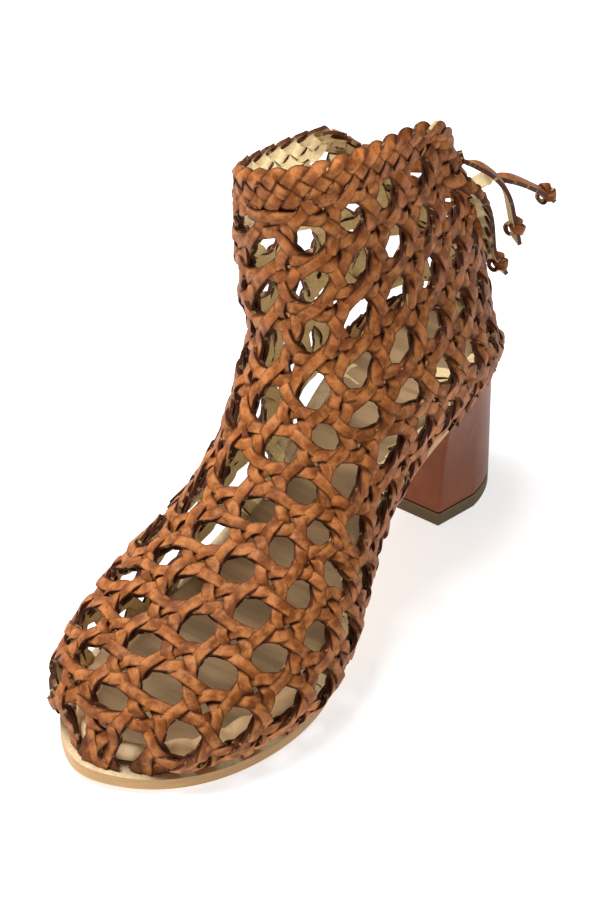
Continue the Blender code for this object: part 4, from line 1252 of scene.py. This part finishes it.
# Each finish: how it is made, and the gloss of its shader.
FINISHES = {
    "strip_grain": (strip_grain, 0.15), "strip_flesh": (strip_flesh, 0.2),
    "strip_edge": (strip_edge, 0.3), "heel_calf": (heel_calf, 0.18),
    "lift_compound": (lift_compound, 0.3), "sole_rim": (sole_rim, 0.25),
    "sole_side": (sole_side, 0.4), "sole_under": (sole_under, 0.35),
    "footbed_suede": (footbed_suede, 0.2), "studio_floor": (studio_floor, 0.1),
}
GLOWS = {"studio_floor": 0.7}


def finish_named(name):
    """The finish of that name, made the first time it is asked for."""
    made = bpy.data.materials.get(name)
    if made:
        return made
    paint, gloss = FINISHES[name]
    finish = Finish(name, gloss, GLOWS.get(name, 0.0))
    paint(finish, bpy.context.scene.bootie_colours)
    return finish.material


# ---- braids, ties, sole and heel ----
def edge_tracks(form):
    """The middle lines of the braids: collar and open back, back seam, heel edge."""
    last = form.sides - 1
    foot, collar = form.row_of(VEE_FOOT_ROW - RIM_UNDER), form.rows - 1
    ups = np.linspace(foot, collar, RIM_SIDE_POINTS)
    places = [(row, last) for row in ups[:-1]]
    places += [(collar, side) for side in np.linspace(last, 0, RIM_TOP_POINTS)]
    places += [(row, 0) for row in ups[-2::-1]]
    rim = Track(*form.line(places), -RIM_DROP, RIM_RISE)
    rows = np.linspace(form.row_of(HEEL_ROW), form.row_of(VEE_FOOT_ROW + BACK_OVER),
                       SEAM_POINTS)
    points, _ = form.line([(row, last) for row in rows])
    points[:, 0] = 0.0
    back = np.cross(heading_of(points), (1.0, 0.0, 0.0))
    seam = Track(points, unit(back), 0.0, BACK_RISE)
    rows = np.linspace(form.row_of(HEEL_EDGE_ROW), form.row_of(HEEL_ROW), SEAM_POINTS)
    places = [(row, last - HEEL_EDGE_IN) for row in rows]
    places += [(row, HEEL_EDGE_IN) for row in rows[::-1]]
    points, outward = form.line(places)
    outward[:, 2] = 0.0
    heel = Track(points, unit(outward), HEEL_EDGE_DOWN, HEEL_EDGE_OUT)
    return {"rim": rim, "back": seam, "heel": heel}


def thong(leather, points, normals, width, thick):
    """A thong's strip, eased along its line between two fixed ends."""
    rows = np.concatenate([points, normals], 1)
    run = run_along(points)
    at = np.linspace(0, run[-1], max(int(run[-1] / THONG_STEP), THONG_LEAST))
    eased = smooth_along(columns_at(at, run, rows), THONG_SMOOTH)
    eased[0], eased[-1] = rows[0], rows[-1]
    leather.strip(eased[:, :3], unit(eased[:, 3:]), width, thick=thick)


def tie_bar(form, level, seed):
    """One slack run of a thong over the open back, its ends tucked into the braids."""
    settings = bpy.context.scene.bootie_ties
    leather = Leather(seed)
    row = form.row_of(TIE_ROWS[level])
    ends, _ = form.line([(row, 0), (row, form.sides - 1)])
    across = ends[1] - ends[0]
    reach = np.linalg.norm(across)
    share = np.linspace(-TIE_TUCK / reach, 1 + TIE_TUCK / reach, TIE_POINTS)
    sag = TIE_SAG * reach * 4 * share * (1 - share)
    points = ends[0] + across * share[:, None]
    points += np.stack([np.zeros_like(sag), sag * TIE_SAG_INWARD, -sag], 1)
    inside = np.minimum(abs(share), abs(1 - share)) * reach
    points[:, 1] += TIE_OVER * np.exp(-((inside - TIE_SWELL_IN) / TIE_SWELL_REACH) ** 2)
    normals = np.tile(TIE_FACING, (len(points), 1))
    thong(leather, points, unit(normals), settings.width / MM, settings.thickness / MM)
    return leather.finish("tie_bar_" + level + "_thong", ("tie_bar_" + level,),
                          settings.thickness / MM, "thong_leather")


def knot_points(middle, ahead, size):
    """An overhand knot's closed line about a place, its axis along the thong."""
    turn = np.linspace(0, 2 * math.pi, KNOT_POINTS + 1)[:-1]
    ring = np.stack([np.sin(turn) + 2 * np.sin(2 * turn), np.cos(turn) - 2 * np.cos(2 * turn),
                     -KNOT_DEPTH * np.sin(3 * turn)], 1) / 3
    side = unit(np.cross(ahead, KNOT_TURN))
    up = np.cross(side, ahead)
    return middle + size * (ring[:, :1] * side + ring[:, 1:2] * up + ring[:, 2:] * ahead)


def tie_end(name, route, order):
    """A loose end: the flat thong through its knot to its tip, and the knot."""
    settings = bpy.context.scene.bootie_ties
    route = to_frame(route)
    line = natural_spline(route, np.linspace(0, len(route) - 1, TIE_POINTS))
    ahead = heading_of(line)
    outward = unit(line * (1, 1, 0) - TIE_AXIS)
    normals = unit(outward - ahead * (outward * ahead).sum(1)[:, None])
    leather = Leather(END_SEED + order)
    leather.strip(line, normals, settings.width / MM, thick=settings.thickness / MM)
    item = leather.finish(name + "_thong", (name,), settings.thickness / MM, "thong_leather")
    knot = Leather(KNOT_SEED + order)
    middle = natural_spline(route, len(route) - 2.0)
    near = np.linalg.norm(line - middle, axis=1).argmin()
    ring = knot_points(middle, ahead[near], settings.knot / MM)
    ring = np.concatenate([ring, ring[:KNOT_LAP]])
    knot.strip(ring, unit(ring - middle), settings.width / MM * KNOT_WIDTH_SHARE,
               thick=KNOT_STRIP_THICK)
    lump = knot.finish(name + "_knot", (), KNOT_WALL, "thong_leather")
    tuple(line[0] * MM)
    [tuple(p * MM) for p in line]
    return item


def sole_sheet(body, inset, start, high, rows, columns, shape=None):
    """A sheet over the sole's form: rows from back to toe, each from side to side."""
    ring = inset_ring(inset)
    first, last = ring[:, 1].min() + SHEET_END, ring[:, 1].max() - SHEET_END
    turn = np.linspace(0, math.pi, rows + 1)
    stations = (first + last) / 2 - (last - first) / 2 * np.cos(turn)
    if start > first:
        stations = start + (last - start) * np.sin(turn / 2)
    lay = body.verts.layers.float_vector.new("lay")
    made = bmesh.ops.create_grid(body, x_segments=columns, y_segments=rows, size=1)["verts"]
    places = -np.cos(np.linspace(0, math.pi, columns + 1))
    for k, vertex in enumerate(made):
        row, column = divmod(k, columns + 1)
        s = stations[row]
        right, left = side_at(ring, s, True), side_at(ring, s, False)
        middle, half = (right + left) / 2, (right - left) / 2
        x = middle + half * places[column]
        edge = min(half * (1 - abs(places[column])), last - s, s - first + SHEET_HEEL_MARGIN)
        rise, tone = shape(edge, x, s) if shape else (0.0, 0.0)
        z = float(sole_bottom(s)) + high + rise
        vertex.co = to_frame((x, s, z)) * MM
        vertex[lay] = (s, places[column], tone)
    bmesh.ops.reverse_faces(body, faces=body.faces)
    bmesh.ops.recalc_face_normals(body, faces=body.faces)
    if sum(face.normal.z for face in body.faces) < 0:
        bmesh.ops.reverse_faces(body, faces=body.faces)


def pillow(edge, x, s):
    """The footbed's rise and paleness a distance in from its edge, puffed round the toe."""
    toe = table(PILLOW_TOE, s)
    around = math.atan2(x, max(s - TOE_CENTRE, 1.0)) * TOE_ROUND / PILLOW_PITCH
    puff = abs(math.sin(math.pi * around)) ** PILLOW_PUFF_ROUND
    off = min(1.0, abs(edge - PILLOW_IN) / PILLOW_HALF)
    roll = (1 - off * off) ** PILLOW_FULL
    rounded = -PILLOW_EDGE_DROP * max(0.0, 1 - edge / PILLOW_EDGE) ** 2
    rise = PILLOW_RISE + toe * (PILLOW_TOE_RISE + PILLOW_PUFF_RISE * puff)
    return rounded + roll * rise, roll * (PILLOW_PALE + PILLOW_TOE_PALE * toe)


def heel_ring(share, z=None):
    """The heel's D-shaped ring: share 0 is the floor outline, 1 the seat outline.

    Without a height it follows the top of the sole.
    """
    half, breast_half, back, depth, front = (
        low * (1 - share) + high * share for low, high in zip(HEEL_FLOOR, HEEL_SEAT))
    outline = [(breast_half, front)]
    for turn in np.linspace(0, math.pi, HEEL_AROUND - 2):
        bulge = abs(math.cos(turn)) ** (2 / HEEL_ROUND) * half
        s = back + depth * (1 - abs(math.sin(turn)) ** (2 / HEEL_ROUND))
        outline.append((math.copysign(bulge, math.cos(turn)), s))
    outline.append((-breast_half, front))
    return [(x, s, float(sole_bottom(s)) + SOLE_THICK if z is None else z) for x, s in outline]


def loft(rings, name, finishes, slot, bevel):
    """A closed solid through rings of places, with its ends filled and its edges rounded."""
    body = bmesh.new()
    around, levels = len(rings[0]), len(rings)
    flat = to_frame(np.array(rings).reshape(-1, 3)) * MM
    made = bmesh.ops.create_grid(body, x_segments=around, y_segments=levels - 1, size=1)["verts"]
    for k, vertex in enumerate(made):
        level, place = divmod(k, around + 1)
        vertex.co = flat[level * around + place % around]
    bmesh.ops.remove_doubles(body, verts=body.verts, dist=TINY)
    bmesh.ops.holes_fill(body, edges=body.edges, sides=0)
    bmesh.ops.recalc_face_normals(body, faces=body.faces)
    item = piece_from(body, name, finishes, slot)
    item.data.set_sharp_from_angle(angle=math.radians(40))
    worn_edge(item, bevel, segments=3, angle=40)
    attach(item, "root")
    return item


# ---- settings ----
def length(name, description, default):
    return bpy.props.FloatProperty(name=name, description=description, default=default,
                                   unit="LENGTH", precision=4)


def colour(name, description, default):
    return bpy.props.FloatVectorProperty(name=name, description=description, subtype="COLOR",
                                         size=3, min=0.0, max=1.0, default=default)


def amount(name, description, default, **extra):
    return bpy.props.FloatProperty(name=name, description=description, default=default, **extra)


class StripSettings(bpy.types.PropertyGroup):
    width: length("Width", "Width of a strip", 0.0046)
    thickness: length("Thickness", "Thickness of a strip", 0.0013)
    crown: length("Crown", "How far a strip's middle stands over its edges", 0.0002)
    cross_rise: length("Crossing rise", "Rise of a strip where it goes over another", 0.0014)
    diagonal_rise: length("Diagonal rise", "Rise of a slanting strip over a pair", 0.0020)
    pair_gap: amount("Pair gap", "Half the distance between a pair as it crosses, in pitches",
                     0.172)
    pinch_gap: amount("Pinch gap", "Half the distance between a pair half way, in pitches",
                      0.036)
    hug: amount("Hug", "How far the slanting strips draw in to the crossings, in pitches", 0.058)
    lap_lean: amount("Lap lean", "Lean of the strips of a pair where one laps the other", 0.42,
                     subtype="ANGLE")
    waver: length("Waver", "How far a strip strays sideways", 0.0004)
    roll: amount("Roll", "How far a strip leans to either side", 0.20, subtype="ANGLE")


class BraidSettings(bpy.types.PropertyGroup):
    width: length("Width", "Width of a braid's strip", 0.0053)
    rise: length("Rise", "Rise of a strip where it goes over another", 0.0010)
    half_width: length("Half width", "From the middle to the outer strip's own middle", 0.0064)
    period: length("Period", "Length over which a strip swings there and back", 0.033)
    edge_roll: amount("Edge roll", "Lean of a strip where it turns at the edge", 0.75,
                      subtype="ANGLE")


class TieSettings(bpy.types.PropertyGroup):
    width: length("Width", "Width of a thong", 0.0055)
    thickness: length("Thickness", "Thickness of a thong", 0.0018)
    knot: length("Knot", "Reach of a knot from its middle", 0.0036)


class SoleSettings(bpy.types.PropertyGroup):
    edge_round: length("Edge", "Roundness of the sole's edge", 0.0007)
    heel_round: length("Heel edge", "Roundness of the heel's corners", 0.0012)
    lift_round: length("Lift edge", "Roundness of the top lift's edges", 0.0004)


class ColourSettings(bpy.types.PropertyGroup):
    grain: colour("Grain", "Cognac grain side", (0.235, 0.064, 0.013))
    grain_light: colour("Grain light", "Worn, lighter patches of the grain side",
                        (0.56, 0.205, 0.058))
    # Burnished edges, and also the painted shade at the strips' edges and where a strip dips
    # under another.
    grain_burnish_and_shade: colour("Grain dark", "Burnished edges", (0.060, 0.014, 0.004))
    flesh: colour("Flesh", "Pale suede side", (0.98, 0.78, 0.45))
    flesh_shade: colour("Flesh shade", "Soiled suede side", (0.66, 0.42, 0.19))
    heel: colour("Heel", "Heel cover", (0.225, 0.060, 0.018))
    lift: colour("Lift", "Top lift", (0.13, 0.088, 0.042))
    rim: colour("Rim", "Sole's upper face", (0.76, 0.58, 0.35))
    sole_edge: colour("Sole edge", "Sole's side", (0.60, 0.35, 0.14))
    footbed: colour("Footbed", "Footbed's suede", (0.43, 0.295, 0.17))
    footbed_rim: colour("Footbed rim", "Padded edge of the footbed", (1.0, 0.70, 0.41))


class StageSettings(bpy.types.PropertyGroup):
    lens: amount("Lens", "Focal length on a 36 mm sensor", 120.0)
    camera_place: bpy.props.FloatVectorProperty(
        name="Camera", description="Where the camera stands", subtype="TRANSLATION",
        default=(0.5117, -0.8114, 0.7817))
    camera_target: bpy.props.FloatVectorProperty(
        name="Target", description="The point that the camera faces", subtype="TRANSLATION",
        default=(0.0246, -0.1233, 0.1041))
    sky: amount("Surround", "Strength of the white surround", 0.20)
    key: amount("Key", "Power of the large soft lamp", 29.0, unit="POWER")
    fill: amount("Fill", "Power of the lamp opposite", 1.0, unit="POWER")
    collar: amount("Collar", "Power of the lamp that reaches into the collar", 0.007,
                   unit="POWER")


# ---- operators ----
class BOOTIE_OT_plait(bpy.types.Operator):
    """Lay the plait's strips in their four directions"""
    bl_idname = "bootie.plait"
    bl_label = "Plait"

    def execute(self, context):
        form = the_form()
        tracks = edge_tracks(form)
        covers = (tracks["rim"], tracks["back"])
        for seed, (name, lines) in enumerate(strip_lines(form).items(), STRIP_SEED):
            lay_family(form, lines, covers, "strips_" + name, seed)
        return {"FINISHED"}


class BOOTIE_OT_braids(bpy.types.Operator):
    """Braid the collar, the open back, the back seam and the heel's edge"""
    bl_idname = "bootie.braids"
    bl_label = "Braids"

    def execute(self, context):
        tracks = edge_tracks(the_form())
        for seed, (name, strands, share) in enumerate(BRAIDS, BRAID_SEED):
            leather = Leather(seed)
            braid(leather, tracks[name], strands, share)
            leather.finish(name + "_braid", ("upper",), BRAID_STRIP_THICK)
        return {"FINISHED"}


class BOOTIE_OT_ties(bpy.types.Operator):
    """Lay the thongs over the open back and hang their knotted ends"""
    bl_idname = "bootie.ties"
    bl_label = "Ties"

    def execute(self, context):
        for order, (name, route) in enumerate(TIE_ENDS.items()):
            tie_end(name, route, order)
        form = the_form()
        for seed, level in enumerate(TIE_ROWS, BAR_SEED):
            tie_bar(form, level, seed)
        return {"FINISHED"}


class BOOTIE_OT_footbed(bpy.types.Operator):
    """Make the suede footbed with its padded rim"""
    bl_idname = "bootie.footbed"
    bl_label = "Footbed"

    def execute(self, context):
        body = bmesh.new()
        inset = table(FOOTBED_INSET, ROUND[:, 1]) - table(FOOTBED_SPREAD, ROUND[:, 1])
        sole_sheet(body, inset, 0.0, SOLE_THICK + GAP + FOOTBED_THICK,
                   FOOTBED_ROWS, FOOTBED_COLUMNS, pillow)
        item = piece_from(body, "footbed_cover", ("footbed_suede",), "suede")
        walled(item, FOOTBED_WALL)
        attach(item, "root")
        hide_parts("footbed")
        return {"FINISHED"}


class BOOTIE_OT_sole(bpy.types.Operator):
    """Make the leather sole with its rough upper face and smooth edge"""
    bl_idname = "bootie.sole"
    bl_label = "Sole"

    def execute(self, context):
        body = bmesh.new()
        sole_sheet(body, 0.0, BREAST + GAP / 2, SOLE_THICK, SOLE_ROWS, SOLE_COLUMNS)
        item = piece_from(body, "sole", ("sole_rim", "sole_under", "sole_side"),
                          "sole_leather")
        walled(item, SOLE_THICK)
        worn_edge(item, context.scene.bootie_sole.edge_round, segments=2, angle=60)
        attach(item, "root")
        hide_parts("outsole")
        return {"FINISHED"}


class BOOTIE_OT_heel(bpy.types.Operator):
    """Make the covered heel and its top lift"""
    bl_idname = "bootie.heel"
    bl_label = "Heel"

    def execute(self, context):
        settings = context.scene.bootie_sole
        low = LIFT_THICK + GAP / 2
        rings = [heel_ring(0.0, low)]
        for share in np.linspace(0, 1, HEEL_RINGS)[1:-1]:
            waisted = share - HEEL_WAIST * math.sin(math.pi * share)
            rings.append(heel_ring(waisted, low + (SEAT_HEIGHT - LIFT_THICK) * share))
        rings.append(heel_ring(1.0))
        cover = loft(rings, "heel_cover", ("heel_calf",), "heel_leather", settings.heel_round)
        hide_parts("heel_block")
        rings = [heel_ring(0.0, z) for z in (0.0, LIFT_THICK)]
        lift = loft(rings, "heel_lift", ("lift_compound",), "lift_rubber", settings.lift_round)
        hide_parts("top_lift")
        return {"FINISHED"}


class BOOTIE_OT_stage(bpy.types.Operator):
    """Set the pale floor, the soft lamps and the camera"""
    bl_idname = "bootie.stage"
    bl_label = "Stage"

    def execute(self, context):
        settings, scene = context.scene.bootie_stage, context.scene
        body = bmesh.new()
        bmesh.ops.create_grid(body, x_segments=1, y_segments=1, size=FLOOR_HALF)
        floor = piece_from(body, "floor", ("studio_floor",), None)
        floor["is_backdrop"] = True
        world = bpy.data.worlds.new("surround")
        world.use_nodes = True
        sky = world.node_tree.nodes["Background"]
        sky.inputs["Color"].default_value = (1.0, 1.0, 1.0, 1.0)
        sky.inputs["Strength"].default_value = settings.sky
        scene.world = world
        for name, place, aim, size, spread in LAMPS:
            lamp = bpy.data.lights.new(name, "AREA")
            lamp.energy = getattr(settings, name)
            lamp.size = size
            lamp.spread = spread
            holder = bpy.data.objects.new(name, lamp)
            holder.location = place
            holder.rotation_euler = (aim - Vector(place)).to_track_quat("-Z", "Y").to_euler()
            scene.collection.objects.link(holder)
        view = bpy.data.cameras.new("camera")
        view.lens = settings.lens
        view.sensor_width = 36.0
        view.clip_start = 0.05
        camera = bpy.data.objects.new("camera", view)
        camera.location = settings.camera_place
        away = Vector(settings.camera_target) - camera.location
        camera.rotation_euler = away.to_track_quat("-Z", "Y").to_euler()
        scene.collection.objects.link(camera)
        scene.camera = camera
        scene.view_settings.view_transform = "Standard"
        return {"FINISHED"}


STEPS = (BOOTIE_OT_stage, BOOTIE_OT_ties, BOOTIE_OT_plait, BOOTIE_OT_braids,
         BOOTIE_OT_footbed, BOOTIE_OT_sole, BOOTIE_OT_heel)


class BOOTIE_PT_panel(bpy.types.Panel):
    """The bootie's steps, in the sidebar"""
    bl_idname = "BOOTIE_PT_panel"
    bl_label = "Bootie"
    bl_space_type = "VIEW_3D"
    bl_region_type = "UI"
    bl_category = "Bootie"

    def draw(self, context):
        for step in STEPS:
            self.layout.operator(step.bl_idname)


SETTINGS = {"bootie_strips": StripSettings, "bootie_braids": BraidSettings,
            "bootie_ties": TieSettings, "bootie_sole": SoleSettings,
            "bootie_colours": ColourSettings, "bootie_stage": StageSettings}


def register():
    for name, group in SETTINGS.items():
        bpy.utils.register_class(group)
        setattr(bpy.types.Scene, name, bpy.props.PointerProperty(type=group))
    for kind in (*STEPS, BOOTIE_PT_panel):
        bpy.utils.register_class(kind)


def unregister():
    for kind in (BOOTIE_PT_panel, *reversed(STEPS)):
        bpy.utils.unregister_class(kind)
    for name, group in SETTINGS.items():
        delattr(bpy.types.Scene, name)
        bpy.utils.unregister_class(group)


def main():
    register()
    for step in STEPS:
        family, name = step.bl_idname.split(".")
        getattr(getattr(bpy.ops, family), name)()
    boxes = {"cad": CAD_BOX, "visual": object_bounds()}
    sizes = {name: [list(low), list(high)] for name, (low, high) in boxes.items()}


if __name__ == "__main__":
    main()
